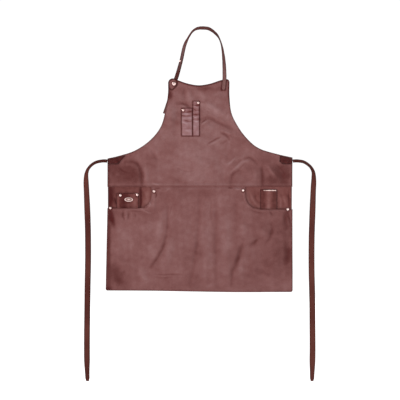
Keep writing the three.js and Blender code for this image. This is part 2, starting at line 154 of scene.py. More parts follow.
class Nodes:
    """Builds one node material. The object's own coordinates are the part's, in metres."""

    def __init__(self, name):
        self.material = bpy.data.materials.new(name)
        self.material.use_nodes = True
        self.tree = self.material.node_tree
        self.shader = self.tree.nodes["Principled BSDF"]
        self.place = self.tree.nodes.new("ShaderNodeTexCoord").outputs["Object"]

    def new(self, kind, inputs=None, **settings):
        node = self.tree.nodes.new("ShaderNode" + kind)
        for key, value in settings.items():
            setattr(node, key, value)
        for key, value in (inputs or {}).items():
            self.feed(node.inputs[key], value)
        return node

    def feed(self, socket, value):
        """A socket takes either another node's output or a plain value."""
        if isinstance(value, bpy.types.NodeSocket):
            self.tree.links.new(value, socket)
        else:
            socket.default_value = value

    def noise(self, scale, detail=4.0, roughness=0.55, stretch=None):
        place = self.place
        if stretch:
            place = self.new("Mapping", {"Vector": place, "Scale": stretch}).outputs["Vector"]
        inputs = {"Vector": place, "Scale": scale, "Detail": detail, "Roughness": roughness}
        return self.new("TexNoise", inputs).outputs["Fac"]

    def ramp(self, value, stops):
        node = self.new("ValToRGB", {"Fac": value})
        points = node.color_ramp.elements
        while len(points) < len(stops):
            points.new(0.5)
        for point, (place, colour) in zip(points, stops):
            point.position = place
            point.color = (*colour, 1)
        return node.outputs["Color"]

    def math(self, operation, a, b, clamp=False):
        return self.new("Math", {0: a, 1: b}, operation=operation, use_clamp=clamp).outputs[0]

    def spread(self, value, low, high, to_low, to_high):
        inputs = {"Value": value, "From Min": low, "From Max": high, "To Min": to_low, "To Max": to_high}
        return self.new("MapRange", inputs).outputs["Result"]

    def weighted(self, *terms):
        """The sum of (value, weight) terms."""
        total = None
        for value, weight in terms:
            part = self.math("MULTIPLY", value, weight)
            total = part if total is None else self.math("ADD", total, part)
        return total

    def mix(self, share, a, b):
        """Mixes two colours; the Mix node's colour sockets are 6, 7 and, going out, 2."""
        node = self.new("Mix", data_type="RGBA", blend_type="MIX")
        for socket, value in ((0, share), (6, a), (7, b)):
            self.feed(node.inputs[socket], (*value, 1) if isinstance(value, tuple) else value)
        return node.outputs[2]

    def attribute(self, name):
        return self.new("Attribute", attribute_name=name).outputs["Fac"]

    def link(self, source, socket):
        self.tree.links.new(source, self.shader.inputs[socket])

    def set(self, socket, value):
        self.shader.inputs[socket].default_value = value

    def bump(self, layers):
        """layers are (height, depth in metres, strength); each lies on the one before."""
        normal = None
        for height, depth, strength in layers:
            inputs = {"Height": height, "Distance": depth, "Strength": strength}
            if normal is not None:
                inputs["Normal"] = normal
            normal = self.new("Bump", inputs).outputs["Normal"]
        self.link(normal, "Normal")


def shade(colour, factor):
    return tuple(min(1.0, c * factor) for c in colour)


def dye_and_shade(colour, depth):
    """The leather's colour at a depth: below 1 darker and redder, above 1 lighter and paler. It stands for
    leather dyed thickly or rubbed thin, and in the leather's ramp also for painted shade and painted sheen.
    """
    red, green, blue = colour
    return (min(1.0, red * depth), min(1.0, green * depth ** 1.8), min(1.0, blue * depth ** 1.9))


def leather(name, colour, edge, gloss, shine):
    """Oiled full-grain leather: mottled, dyed unevenly, pebbled grain, fine wrinkles, darker painted edges.

    The mesh attributes are tone, from -1 dark to 1 light, and edge, 1 at the painted edge. Tone holds the
    leather's own lighter and darker patches and also painted shade and painted light: fold valleys darker and
    ridges lighter, painted shadows along sewn-on pieces and round rivets, painted shade and light at the
    seam."""
    n = Nodes(name)
    clouds = n.noise(7.0, 5.0, 0.6)
    stains = n.noise(38.0, 6.0, 0.62)
    flecks = n.noise(170.0, 4.0, 0.6)
    pores = n.noise(900.0, 2.0, 0.5)
    mottle_and_shade = n.weighted((clouds, 0.16), (stains, 0.15), (flecks, 0.11), (n.attribute("tone"), 0.17))
    toned = n.math("ADD", mottle_and_shade, 0.5 - (0.16 + 0.15 + 0.11) / 2)
    # The ramp's darkest, reddest stops stand for painted shade in creases and folds, and its palest stop for
    # painted sheen, besides the leather's own patches.
    dyed = n.ramp(toned, [
        (0.12, (colour[0] * 0.36, colour[1] * 0.03, colour[2] * 0.02)),
        (0.34, dye_and_shade(colour, 0.60)),
        (0.46, dye_and_shade(colour, 0.92)),
        (0.54, dye_and_shade(colour, 1.08)),
        (0.76, dye_and_shade(colour, 1.55)),
    ])
    speckled = n.mix(n.spread(pores, 0.35, 0.65, 0.10, 0.0), dyed, dye_and_shade(colour, 0.35))
    wear = n.spread(n.noise(260.0, 3.0), 0.35, 0.7, 0.72, 1.0)
    edge_share = n.math("MULTIPLY", n.attribute("edge"), wear, clamp=True)
    n.link(n.mix(edge_share, speckled, edge), "Base Color")

    pebbles = n.new("TexVoronoi", {"Vector": n.place, "Scale": 620.0, "Randomness": 0.95},
                    feature="SMOOTH_F1").outputs["Distance"]
    wrinkles = n.noise(150.0, 6.0, 0.68, stretch=(1.0, 1.0, 0.62))
    creases = n.noise(46.0, 7.0, 0.6, stretch=(0.8, 1.0, 1.25))
    n.bump([(creases, 0.0011, 0.35), (wrinkles, 0.00045, 0.60), (pebbles, 0.00032, 0.5)])

    rough = n.math("ADD", n.spread(stains, 0.3, 0.7, gloss - 0.06, gloss + 0.07),
                   n.spread(pebbles, 0.0, 0.8, 0.05, -0.03))
    n.link(rough, "Roughness")
    n.set("Specular IOR Level", shine)
    return n.material


def suede(name, colour, edge):
    """The leather's flesh side: short nap, soft scuffs and no gloss."""
    n = Nodes(name)
    nap = n.noise(420.0, 5.0, 0.7, stretch=(1.0, 1.0, 0.5))
    scuffs = n.noise(24.0, 6.0, 0.65)
    mixed = n.weighted((nap, 0.4), (scuffs, 0.6))
    dyed = n.ramp(mixed, [(0.3, shade(colour, 0.66)), (0.5, colour), (0.7, shade(colour, 1.3))])
    n.link(n.mix(n.attribute("edge"), dyed, edge), "Base Color")
    n.link(n.spread(nap, 0.3, 0.7, 0.82, 0.95), "Roughness")
    n.bump([(scuffs, 0.0008, 0.35), (nap, 0.0003, 0.6)])
    n.set("Sheen Weight", 0.18)
    n.set("Specular IOR Level", 0.25)
    return n.material


def edge_paint(name, colour):
    """Burnished, dyed leather edge: layers of fibre under a waxy coat."""
    n = Nodes(name)
    layers = n.noise(300.0, 4.0, 0.6, stretch=(0.25, 3.0, 0.25))
    dyed = n.ramp(layers, [(0.3, shade(colour, 0.7)), (0.52, colour), (0.75, shade(colour, 1.5))])
    n.link(dyed, "Base Color")
    n.link(n.spread(layers, 0.3, 0.7, 0.38, 0.55), "Roughness")
    n.set("Specular IOR Level", 0.12)
    n.bump([(layers, 0.0003, 0.5)])
    return n.material


def waxed_thread(name, colour):
    n = Nodes(name)
    twist = n.new("TexWave", {"Vector": n.place, "Scale": 900.0, "Distortion": 1.5},
                  bands_direction="DIAGONAL").outputs["Fac"]
    age = n.noise(60.0)
    dyed = n.ramp(n.weighted((twist, 0.5), (age, 0.5)),
                  [(0.25, shade(colour, 0.6)), (0.6, colour), (0.85, shade(colour, 1.3))])
    n.link(dyed, "Base Color")
    n.link(n.spread(age, 0.3, 0.7, 0.5, 0.68), "Roughness")
    n.bump([(twist, 0.0002, 0.6)])
    return n.material


def rose_gold(name):
    """Polished plate with fine scratches and a little tarnish. Where the tone attribute is below 0 it darkens
    towards brown: tarnish in the badge's sunken field, darker patches on the bar, painted shade on the
    strap's stud.
    """
    n = Nodes(name)
    tarnish = n.noise(170.0, 5.0, 0.6)
    scratches = n.noise(1500.0, 3.0, 0.7, stretch=(1.0, 1.0, 0.12))
    clean = n.ramp(tarnish, [
        (0.3, (0.68, 0.43, 0.39)),
        (0.5, (0.92, 0.68, 0.64)),
        (0.7, (0.98, 0.80, 0.77)),
    ])
    tarnish_and_shade = n.math("MULTIPLY", n.attribute("tone"), -1.0, clamp=True)
    n.link(n.mix(tarnish_and_shade, clean, (0.22, 0.095, 0.075)), "Base Color")
    n.set("Metallic", 1.0)
    rough = n.math("ADD", n.spread(tarnish, 0.3, 0.7, 0.42, 0.26),
                   n.spread(scratches, 0.3, 0.7, -0.03, 0.06))
    n.link(rough, "Roughness")
    n.bump([(tarnish, 0.00015, 0.25), (scratches, 0.00006, 0.5)])
    return n.material


EDGE_DYE = (0.035, 0.006, 0.006)
# colour, edge colour, roughness and specular level of each leather
LEATHERS = {
    "panel": ((0.172, 0.063, 0.0595), EDGE_DYE, 0.50, 0.24),
    "pocket": ((0.225, 0.098, 0.100), EDGE_DYE, 0.46, 0.24),
    "facing": ((0.145, 0.042, 0.037), EDGE_DYE, 0.45, 0.20),
    "dark": ((0.060, 0.007, 0.006), (0.02, 0.003, 0.003), 0.46, 0.15),
    "strap": ((0.108, 0.034, 0.030), (0.03, 0.006, 0.005), 0.44, 0.18),
    "tie": ((0.088, 0.019, 0.013), (0.025, 0.004, 0.003), 0.45, 0.14),
}


def make_looks():
    """What each kind of piece is covered with: its front, its cut edge and its back."""
    grain = {name: leather(f"{name}_leather", *values) for name, values in LEATHERS.items()}
    back = suede("suede_back", (0.20, 0.098, 0.080), EDGE_DYE)
    strap_back = suede("strap_suede", (0.27, 0.165, 0.15), (0.045, 0.014, 0.012))
    edge = edge_paint("edge_paint", (0.038, 0.007, 0.007))
    backs = {"dark": grain["dark"], "strap": strap_back, "tie": strap_back}
    looks = {name: [front, edge, backs.get(name, back)] for name, front in grain.items()}
    looks["thread"] = waxed_thread("waxed_thread", (0.085, 0.026, 0.024))
    looks["metal"] = rose_gold("rose_gold_plate")
    return looks


# ---- Curves and outlines ----

def curve(points, per=12):
    """Points on a smooth curve through the given ones."""
    p = np.array(points, float)
    p = np.vstack([2 * p[0] - p[1], p, 2 * p[-1] - p[-2]])
    t = np.linspace(0, 1, per, endpoint=False)[:, None]
    pieces = []
    for p0, p1, p2, p3 in zip(p, p[1:], p[2:], p[3:]):
        d0, d1, d2 = (max(np.linalg.norm(b - a), 1e-6) ** 0.5
                      for a, b in ((p0, p1), (p1, p2), (p2, p3)))
        m1 = ((p1 - p0) / d0 - (p2 - p0) / (d0 + d1) + (p2 - p1) / d1) * d1
        m2 = ((p2 - p1) / d1 - (p3 - p1) / (d1 + d2) + (p3 - p2) / d2) * d1
        a = 2 * p1 - 2 * p2 + m1 + m2
        b = -3 * p1 + 3 * p2 - 2 * m1 - m2
        pieces.append(a * t ** 3 + b * t ** 2 + m1 * t + p1)
    return np.vstack([*pieces, p[-2:-1]])


def arc(cx, cz, r, start, end, count=14):
    a = np.radians(np.linspace(start, end, count))
    return np.stack([cx + r * np.cos(a), cz + r * np.sin(a)], 1)


def lengths_along(points):
    return np.concatenate([[0], np.cumsum(np.linalg.norm(np.diff(points, axis=0), axis=1))])


def resample(points, step):
    points = np.array(points, float)
    s = lengths_along(points)
    count = max(2, round(s[-1] / step) + 1)
    at = np.linspace(0, s[-1], count)
    return np.stack([np.interp(at, s, points[:, i]) for i in range(points.shape[1])], 1)


def closed(*runs, step):
    """One closed outline from runs that follow each other, with straight lines across any gaps."""
    parts = []
    for run, following in zip(runs, runs[1:] + runs[:1]):
        parts.append(resample(run, step)[:-1])
        if not np.allclose(run[-1], following[0]):
            parts.append(resample([run[-1], following[0]], step)[:-1])
    return np.vstack(parts)


def nearest(points, path, loop=False):
    """Distance from each point to a path, and how far along the path it lies."""
    path = np.array(path, float)
    if loop:
        path = np.vstack([path, path[:1]])
    s = lengths_along(path)
    best = np.full(len(points), np.inf)
    where = np.zeros(len(points))
    for a, b, s0, s1 in zip(path, path[1:], s, s[1:]):
        run = b - a
        size = max(run @ run, 1e-12)
        t = np.clip(((points - a) @ run) / size, 0, 1)
        d = np.linalg.norm(points - a - t[:, None] * run, axis=1)
        closer = d < best
        best = np.where(closer, d, best)
        where = np.where(closer, s0 + t * (s1 - s0), where)
    return best, where


def distance(x, z, path, loop=False):
    return nearest(np.stack([x, z], 1), path, loop)[0]


def inside(points, outline):
    """Whether each point lies in a closed outline."""
    x, z = points.T
    result = np.zeros(len(points), bool)
    for (x0, z0), (x1, z1) in zip(outline, np.roll(outline, -1, axis=0)):
        if z0 == z1:
            continue
        crosses = (z0 > z) != (z1 > z)
        result ^= crosses & (x < (x1 - x0) * (z - z0) / (z1 - z0) + x0)
    return result


# The bib's upper corners: middle and radius. The other lines are the panels' edges.
LEFT_CORNER = (-117, -221, 18.5)
RIGHT_CORNER = (98, -217.5, 12)
LEFT_ARMHOLE = curve([(-378, -523), (-331, -512), (-268, -491), (-208, -450), (-166, -398), (-148, -340),
                      (-136, -262), (-135.5, -221)])
SCOOP = curve([(-112.2, -203.1), (-88, -213), (-50, -225), (-11, -230), (31, -224), (76, -209.5),
               (98, -205.5)])
RIGHT_ARMHOLE = curve([(110, -217.5), (110, -277), (118, -342), (138, -385), (172, -434), (222, -479),
                       (300, -505), (362, -519)])
LEFT_MOUTH = curve([(-202, -637), (-203, -679), (-214, -704), (-232, -718), (-262, -722.5)])
RIGHT_MOUTH = curve([(174, -637), (175, -679), (186, -704), (204, -719), (234, -726.5)])
# The skirt's top edge lies behind the bib's foot.
SKIRT_TOP = -634.4
BIB_FOOT = -636.2


def bib_edges():
    """The bib's free edge, from its left foot over the top to its right foot."""
    return np.vstack([
        [(SIDE_LEFT, BIB_FOOT)],
        LEFT_ARMHOLE,
        arc(*LEFT_CORNER, 180, 75),
        SCOOP[1:],
        arc(*RIGHT_CORNER, 90, 0)[1:],
        RIGHT_ARMHOLE[1:],
        [(SIDE_RIGHT - 1, BIB_FOOT)],
    ])


def skirt_hem():
    """The skirt's free edge below the pocket mouths, from the left side to the right."""
    return np.vstack([
        [(-378.5, -722)],
        arc(-378, -1044, 7, 180, 270),
        curve([(-371, -1051), (-180, -1052.5), (120, -1057.5), (355.5, -1057)])[1:-1],
        arc(355.5, -1050, 7, 270, 360),
        [(362, -726)],
    ])


def left_mouth():
    return np.vstack([[(-202, SKIRT_TOP)], LEFT_MOUTH, [(-378.5, -722)]])


def right_mouth():
    return np.vstack([[(174, SKIRT_TOP)], RIGHT_MOUTH, [(362, -726)]])


def rectangle(x0, z0, x1, z1, r, step):
    """A rectangle with rounded corners, from its upper right corner round to the left."""
    middles = ((x1 - r, z1 - r), (x0 + r, z1 - r), (x0 + r, z0 + r), (x1 - r, z0 + r))
    corners = [arc(x, z, r, 90 * i, 90 * i + 90, 5) for i, (x, z) in enumerate(middles)]
    return closed(*corners, step=step)


# ---- Relief of the panels, in millimetres towards the front ----

def bell(value, width):
    """1 where the value is 0, falling smoothly to nothing over about two widths."""
    return np.exp(-((value / width) ** 2))


def waves(x, z, length, seed, count=18):
    """A smooth random field of about that wavelength, mostly between -1 and 1."""
    draw = np.random.RandomState(seed)
    total = np.zeros_like(x)
    for _ in range(count):
        a = draw.uniform(0, 2 * math.pi)
        k = 2 * math.pi / (length * draw.uniform(0.7, 1.5))
        total += np.cos(k * (x * math.cos(a) + z * math.sin(a)) + draw.uniform(0, 2 * math.pi))
    return total * math.sqrt(2 / count) * 0.7


def step_up(value, low, high):
    t = np.clip((value - low) / (high - low), 0, 1)
    return t * t * (3 - 2 * t)


# Folds and creases: path, half width, height (below 0 is a valley), tone. The tone is darker in the valleys
# and lighter on the ridges: partly the pull-up leather's own lighter stretched grain, partly painted shade
# and painted light.
SOFT_FOLDS = [
    # bib, below the scoop
    ([(-56, -246), (-50, -268), (-48, -292)], 9, 1.5, 0.45),
    ([(-74, -244), (-70, -268), (-68, -292)], 9, -1.4, -0.35),
    ([(-22, -241), (8, -243), (36, -239)], 9, -0.8, -0.75),
    ([(-8, -250), (2, -272), (4, -296)], 11, 1.1, 0.25),
    ([(70, -240), (88, -242)], 9, -0.8, -0.6),
    ([(60, -250), (70, -270), (66, -296)], 12, 1.0, 0.25),
    # bib, round the pen pockets
    ([(-100, -300), (-74, -303), (-56, -312), (-44, -326)], 7, -1.7, -1.0),
    ([(-96, -330), (-104, -392), (-100, -452)], 15, -1.6, -0.2),
    ([(-128, -300), (-122, -350), (-140, -400)], 14, 1.6, 0.15),
    ([(4, -300), (40, -317), (82, -342)], 13, 1.9, 0.55),
    ([(-4, -365), (28, -359), (64, -377), (110, -398)], 7.5, -1.8, -0.75),
    ([(12, -382), (42, -404)], 12, 1.4, 0.45),
    ([(76, -420), (96, -428), (109, -444)], 5, -1.3, -0.8),
    ([(108, -446), (76, -462)], 5, -1.0, -0.45),
    ([(96, -372), (112, -396), (140, -412)], 10, -1.4, -0.2),
    # left wing
    ([(-206, -486), (-190, -506), (-176, -530)], 8, -1.2, -0.3),
    ([(-150, -420), (-176, -456), (-214, -488)], 18, 1.6, 0.15),
    ([(-304, -534), (-262, -540), (-244, -574), (-240, -634)], 8, -2.1, -0.95),
    ([(-224, -550), (-222, -596), (-216, -634)], 9, 1.7, 0.35),
    ([(-350, -568), (-330, -590)], 12, 1.3, 0.30),
    ([(-370, -572), (-366, -600)], 7, 1.0, 0.40),
    # right wing
    ([(150, -430), (186, -470), (240, -502)], 18, 1.7, 0.1),
    ([(128, -574), (118, -600), (116, -630)], 8, -1.4, -0.65),
    ([(152, -532), (192, -518), (226, -548)], 5.5, -1.2, -0.5),
    ([(170, -566), (196, -590), (200, -622)], 14, 1.6, 0.30),
    ([(238, -556), (242, -596), (241, -634)], 7, -1.8, -0.85),
    ([(204, -562), (214, -590), (212, -618)], 10, 1.4, 0.45),
    ([(262, -548), (276, -572), (292, -594)], 6, 1.5, 0.70),
    ([(290, -548), (314, -580), (330, -618)], 13, -1.6, -0.35),
    ([(150, -556), (172, -534), (186, -530)], 8, 1.2, 0.50),
    # bib, middle
    ([(-60, -500), (-20, -540), (30, -560)], 24, 1.5, 0.15),
    ([(60, -520), (84, -560), (92, -610)], 18, -1.3, -0.15),
    # skirt, the long fold left of the middle
    ([(-136, -712), (-137, -780), (-143, -842)], 5.5, -1.4, -0.45),
    ([(-143, -836), (-158, -882), (-178, -918), (-204, -958)], 7, -2.3, -1.0),
    ([(-160, -736), (-170, -800), (-180, -856)], 14, 1.8, 0.45),
    ([(-124, -856), (-138, -916), (-160, -980)], 15, 1.8, 0.45),
    # skirt, middle
    ([(-10, -676), (-12, -780), (-20, -870), (-34, -950), (-46, -1032)], 9, -1.5, -0.42),
    ([(56, -690), (55, -880), (58, -1034)], 10, -1.5, -0.45),
    ([(136, -660), (134, -740), (138, -830)], 12, -1.1, -0.20),
    ([(20, -820), (16, -940), (8, -1020)], 15, 1.5, 0.40),
    ([(98, -760), (96, -880), (100, -1020)], 17, 1.5, 0.38),
    ([(-84, -900), (-90, -1000)], 24, 1.5, 0.25),
    # skirt, right
    ([(158, -868), (144, -926), (120, -978)], 10.5, -2.4, -0.95),
    ([(122, -968), (116, -1036)], 6, -1.0, -0.45),
    ([(162, -780), (166, -830)], 14, 1.6, 0.45),
    ([(232, -800), (248, -832)], 17, 1.7, 0.50),
    ([(192, -872), (208, -858), (226, -842)], 7, -1.5, -0.75),
    ([(256, -858), (272, -836), (280, -800), (272, -772)], 8, -1.4, -0.60),
    ([(170, -880), (160, -940), (150, -1000)], 14, 1.3, 0.20),
    ([(338, -864), (344, -900), (336, -940)], 13, -1.8, -1.20),
    ([(340, -722), (334, -760), (338, -800)], 9, -1.4, -0.90),
    ([(290, -930), (270, -990), (280, -1040)], 16, 1.3, 0.10),
    # skirt, left
    ([(-367, -726), (-362, -756), (-352, -792)], 9, -2.0, -2.60),
    ([(-316, -800), (-300, -850)], 22, 1.5, 0.35),
    ([(-352, -800), (-330, -860), (-334, -930)], 13, 1.3, 0.10),
    ([(-366, -950), (-344, -986), (-312, -1030)], 17, -1.6, -0.50),
    ([(-330, -936), (-300, -944)], 11, 1.4, 0.35),
    ([(-240, -952), (-236, -990), (-220, -1024)], 15, 1.7, 0.50),
    ([(-252, -790), (-240, -860)], 12, -1.3, -0.20),
    ([(-193, -664), (-190, -690), (-196, -720)], 7, 1.3, 0.30),
]
SHARP_CREASES = [
    ([(-2, -380), (8, -372), (17, -366)], 2.8, -1.1, -0.9),
    ([(0, -386), (12, -378), (24, -371)], 3.4, 1.0, 0.5),
    ([(24, -462), (44, -452), (58, -444), (74, -436)], 2.8, -1.1, -0.85),
    ([(28, -470), (50, -458), (76, -444)], 3.6, 0.9, 0.45),
    ([(80, -410), (100, -418), (120, -426)], 3.6, 0.9, 0.35),
    ([(-92, -314), (-78, -309), (-64, -317)], 4.2, 0.9, 0.3),
    ([(108, -344), (100, -360)], 3.0, 0.8, 0.4),
    ([(-22, -300), (6, -298), (14, -306)], 3.0, -0.6, -0.35),
    ([(14, -322), (36, -334)], 3.0, 0.6, 0.25),
    ([(-196, -623), (-178, -626), (-164, -624)], 3.0, 0.9, 0.6),
    ([(104, -545), (118, -536), (132, -520)], 3.6, 1.1, 0.6),
    ([(116, -577), (140, -556), (164, -529)], 4.2, 1.2, 0.6),
    ([(122, -586), (150, -566), (174, -540)], 4.2, -1.1, -0.5),
    ([(150, -567), (160, -560), (172, -545)], 3.2, 0.9, 0.5),
    ([(-96, -560), (-60, -574), (-30, -570)], 3.6, -0.7, -0.2),
    ([(-330, -560), (-310, -574), (-284, -580)], 4.0, -0.8, -0.3),
    ([(300, -548), (320, -566), (336, -590)], 4.0, -0.8, -0.3),
    ([(-220, -705), (-232, -710), (-236, -716), (-228, -720), (-216, -714)], 2.6, -1.0, -0.8),
    ([(-214, -696), (-206, -706), (-212, -716)], 3.0, 0.9, 0.5),
    ([(-240, -728), (-216, -738), (-200, -742)], 2.8, 0.9, 0.4),
    ([(-288, -730), (-262, -733), (-236, -734)], 2.4, -0.8, -0.5),
    ([(-314, -730), (-316, -752), (-310, -768)], 3.4, -1.1, -0.55),
    ([(-304, -732), (-303, -756), (-304, -772)], 3.4, 1.0, 0.4),
    ([(-292, -734), (-294, -760)], 3.2, -1.1, -0.5),
    ([(-280, -740), (-279, -766)], 3.4, 0.9, 0.3),
    ([(-266, -742), (-264, -758)], 3.0, -0.8, -0.4),
    ([(-187, -658), (-182, -668), (-186, -680)], 2.4, -0.9, -0.8),
    ([(-170, -650), (-150, -654), (-128, -640)], 3.0, 0.7, 0.35),
    ([(168, -664), (172, -684), (182, -704)], 3.6, 0.9, 0.35),
    ([(196, -728), (222, -738), (250, -740)], 3.4, -0.8, -0.35),
    ([(272, -734), (280, -748)], 4.0, -1.0, -0.5),
    ([(342, -736), (348, -760), (354, -790)], 4.0, -1.2, -0.8),
    ([(128, -640), (146, -646), (158, -642)], 2.6, 0.8, 0.4),
    ([(-118, -706), (-130, -748)], 3.0, -0.8, -0.3),
    ([(-188, -985), (-150, -987), (-110, -985), (-74, -987)], 3.0, -0.9, -0.45),
    ([(-186, -996), (-150, -999), (-120, -997)], 3.0, -0.7, -0.30),
    ([(40, -690), (36, -740), (44, -790)], 4.0, -0.7, -0.2),
    ([(-188, -642), (-166, -642)], 2.2, -0.7, -0.9),
    ([(104, -641), (122, -641)], 2.2, -0.7, -0.9),
]
# How strongly the folds and creases stand out, in height and in their painted shade and light.
SOFT_HEIGHT, SHARP_HEIGHT = 1.8, 1.7
SOFT_SHADE, SHARP_SHADE = 1.15, 1.4
# Large, soft changes in the leather's tone: centre, half widths, amount.
TONES = [
    ((10, -350), (180, 140), 0.60),
    ((40, -247), (42, 15), -0.50),
    ((-72, -247), (30, 12), -0.40),
    ((-20, -540), (150, 100), 0.55),
    ((-332, -582), (62, 58), -0.75),
    ((-282, -596), (40, 56), -0.75),
    ((300, -575), (110, 80), -0.25),
    ((318, -598), (78, 44), -0.65),
    ((355, -590), (7, 44), 0.50),
    ((-120, -830), (60, 110), 0.20),
    ((60, -800), (140, 150), 0.30),
    ((300, -780), (110, 150), -0.40),
    ((330, -960), (90, 100), -0.35),
    ((340, -1034), (22, 20), 0.70),
    ((-310, -740), (70, 40), -0.30),
    ((-374, -860), (8, 190), -1.60),
    ((-374, -580), (7, 60), -0.90),
    ((-378, -1045), (14, 10), -1.50),
    ((-345, -990), (44, 50), -0.60),
    ((-262, -840), (84, 60), 0.35),
    ((-10, -662), (180, 26), -0.25),
    ((-127, -266), (9, 22), -1.50),
]


def fold_field(points, folds):
    height = np.zeros(len(points))
    tone = np.zeros(len(points))
    for path, half_width, rise, shade_by in folds:
        smooth = curve(path, 6)
        reach = half_width * 3
        low = smooth.min(0) - reach
        high = smooth.max(0) + reach
        near = np.all((points > low) & (points < high), axis=1)
        if not near.any():
            continue
        d, s = nearest(points[near], smooth)
        total = lengths_along(smooth)[-1]
        taper = np.sin(np.pi * np.clip((s + 0.12 * total) / (1.24 * total), 0, 1)) ** 0.8
        shape = bell(d, half_width) * taper
        height[near] += rise * shape
        tone[near] += shade_by * shape
    return height, tone


def flattened(x, z, spots, share):
    """1, less a share of it round each spot of (x, z, radius)."""
    left = np.ones_like(x)
    for cx, cz, r in spots:
        left *= 1 - share * bell(np.hypot(x - cx, z - cz), r)
    return left


def calm(x, z):
    """Less relief where the strap and the ties are fastened."""
    return flattened(x, z, ((-112, -224, 34), (90, -222, 34), (-360, -535, 30), (345, -535, 30)), 0.92)


def drape(x, z):
    """The slow shape that every piece sewn to the panels follows."""
    points = np.stack([x, z], 1)
    height, _ = fold_field(points, SOFT_FOLDS)
    slow = 1.5 * waves(x, z, 260, 11) + 0.8 * waves(x, z, 110, 12)
    return (SOFT_HEIGHT * height + slow) * calm(x, z)


def value_at(surface, x, z, *more):
    """A surface's height at one place."""
    return float(surface(np.array([float(x)]), np.array([float(z)]), *more)[0])


def panel_relief(x, z):
    """drape, sharper creases and small dents."""
    points = np.stack([x, z], 1)
    sharp, _ = fold_field(points, SHARP_CREASES)
    small = 0.32 * waves(x, z, 46, 13) + 0.13 * waves(x, z, 19, 14)
    return drape(x, z) + (SHARP_HEIGHT * sharp + small) * calm(x, z)


def panel_tone(x, z):
    points = np.stack([x, z], 1)
    _, soft = fold_field(points, SOFT_FOLDS)
    _, sharp = fold_field(points, SHARP_CREASES)
    # The folds' tone: painted shade in the valleys and painted light on the ridges, with some of the pull-up
    # leather's own lightening.
    tone = SOFT_SHADE * soft + SHARP_SHADE * sharp + 0.16 * waves(x, z, 90, 21) + 0.12 * waves(x, z, 30, 22)
    for (cx, cz), (rx, rz), amount in TONES:
        tone += amount * bell(np.hypot((x - cx) / rx, (z - cz) / rz), 1)
    return tone


HEM_W = 8.0
STITCH_IN = 5.0


def hem_relief(x, z, path):
    """A turned hem: a low step, with the small puckers that its stitches draw in."""
    d, s = nearest(np.stack([x, z], 1), path)
    step = 0.55 * step_up(HEM_W - d, -1.2, 1.2)
    pucker = 0.16 * np.sin(2 * math.pi * s / 13.0) * bell(d - HEM_W, 5)
    groove = -0.28 * bell(d - STITCH_IN, 1.3)
    return step + pucker + groove


# ---- Pieces ----

def attach(piece, body, slot, *nodes):
    """The piece rides on a body and stands for the CAD nodes, which it hides; slot is not used."""
    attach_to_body(piece, body)
    if nodes:
        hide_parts(*nodes)


def new_object(name, vertices, faces, materials, face_materials, attributes=None):
    mesh = bpy.data.meshes.new(name)
    mesh.from_pydata([tuple(v) for v in np.array(vertices) * MM], [], faces)
    for material in materials:
        mesh.materials.append(material)
    mesh.polygons.foreach_set("material_index", np.array(face_materials, np.int32))
    mesh.polygons.foreach_set("use_smooth", np.ones(len(faces), bool))
    for key in ("edge", "tone"):
        values = (attributes or {}).get(key, np.zeros(len(vertices)))
        mesh.attributes.new(key, "FLOAT", "POINT").data.foreach_set("value", np.array(values, np.float32))
    mesh.update()
    obj = bpy.data.objects.new(name, mesh)
    bpy.context.scene.collection.objects.link(obj)
    return obj


def tube_faces(base, rings, sides, flip=False):
    """The faces of a closed tube whose rings of vertices start at base; flip turns them all over."""
    last = base + (rings - 1) * sides
    faces = []
    for start in range(base, last, sides):
        for k in range(sides):
            p = start + k
            q = start + (k + 1) % sides
            faces.append((p, p + sides, q + sides, q) if flip else (p, q, q + sides, p + sides))
    near, far = ([end + k for k in range(sides)] for end in (base, last))
    faces.append(tuple(near if flip else reversed(near)))
    faces.append(tuple(reversed(far) if flip else far))
    return faces


# How far in from a sheet's outline its two closer rows of points lie.
EDGE_RINGS = (1.1, 2.6)


def staggered_grid(low, high, step):
    """Points at the corners of triangles with equal sides."""
    rows = []
    for i, z in enumerate(np.arange(low[1], high[1], step * 0.866)):
        x = np.arange(low[0] + (i % 2) * step / 2, high[0], step)
        rows.append(np.stack([x, np.full_like(x, z)], 1))
    return np.vstack(rows)


def fill(outline, step):
    """Points and triangles that fill an outline, closer together along its edge."""
    following = np.roll(outline, -1, axis=0)
    before = np.roll(outline, 1, axis=0)
    run = following - before
    normal = np.stack([-run[:, 1], run[:, 0]], 1) / np.linalg.norm(run, axis=1)[:, None]
    if not inside(outline[:1] + normal[:1] * 0.2, outline)[0]:
        normal = -normal
    kept = [outline]
    for r in EDGE_RINGS:
        ring = outline + normal * r
        kept.append(ring[(distance(*ring.T, outline, loop=True) > 0.96 * r) & inside(ring, outline)])
    grid = staggered_grid(outline.min(0), outline.max(0), step)
    grid = grid[inside(grid, outline)]
    kept.append(grid[distance(*grid.T, outline, loop=True) > EDGE_RINGS[-1] + 0.55 * step])
    points = np.vstack(kept)
    count = len(outline)
    edges = [(i, (i + 1) % count) for i in range(count)]
    made = delaunay_2d_cdt([Vector(p) for p in points], edges, [], 1, 1e-4, False)
    points = np.array([tuple(v) for v in made[0]])
    triangles = np.array([tuple(f) for f in made[2]])
    triangles = triangles[inside(points[triangles].mean(1), outline)]
    return points, [tuple(int(i) for i in t) for t in triangles]


def border_of(triangles):
    """The border edges, each in the direction that its triangle has."""
    seen = dict.fromkeys(edge for a, b, c in triangles for edge in ((a, b), (b, c), (c, a)))
    return [edge for edge in seen if edge[::-1] not in seen]


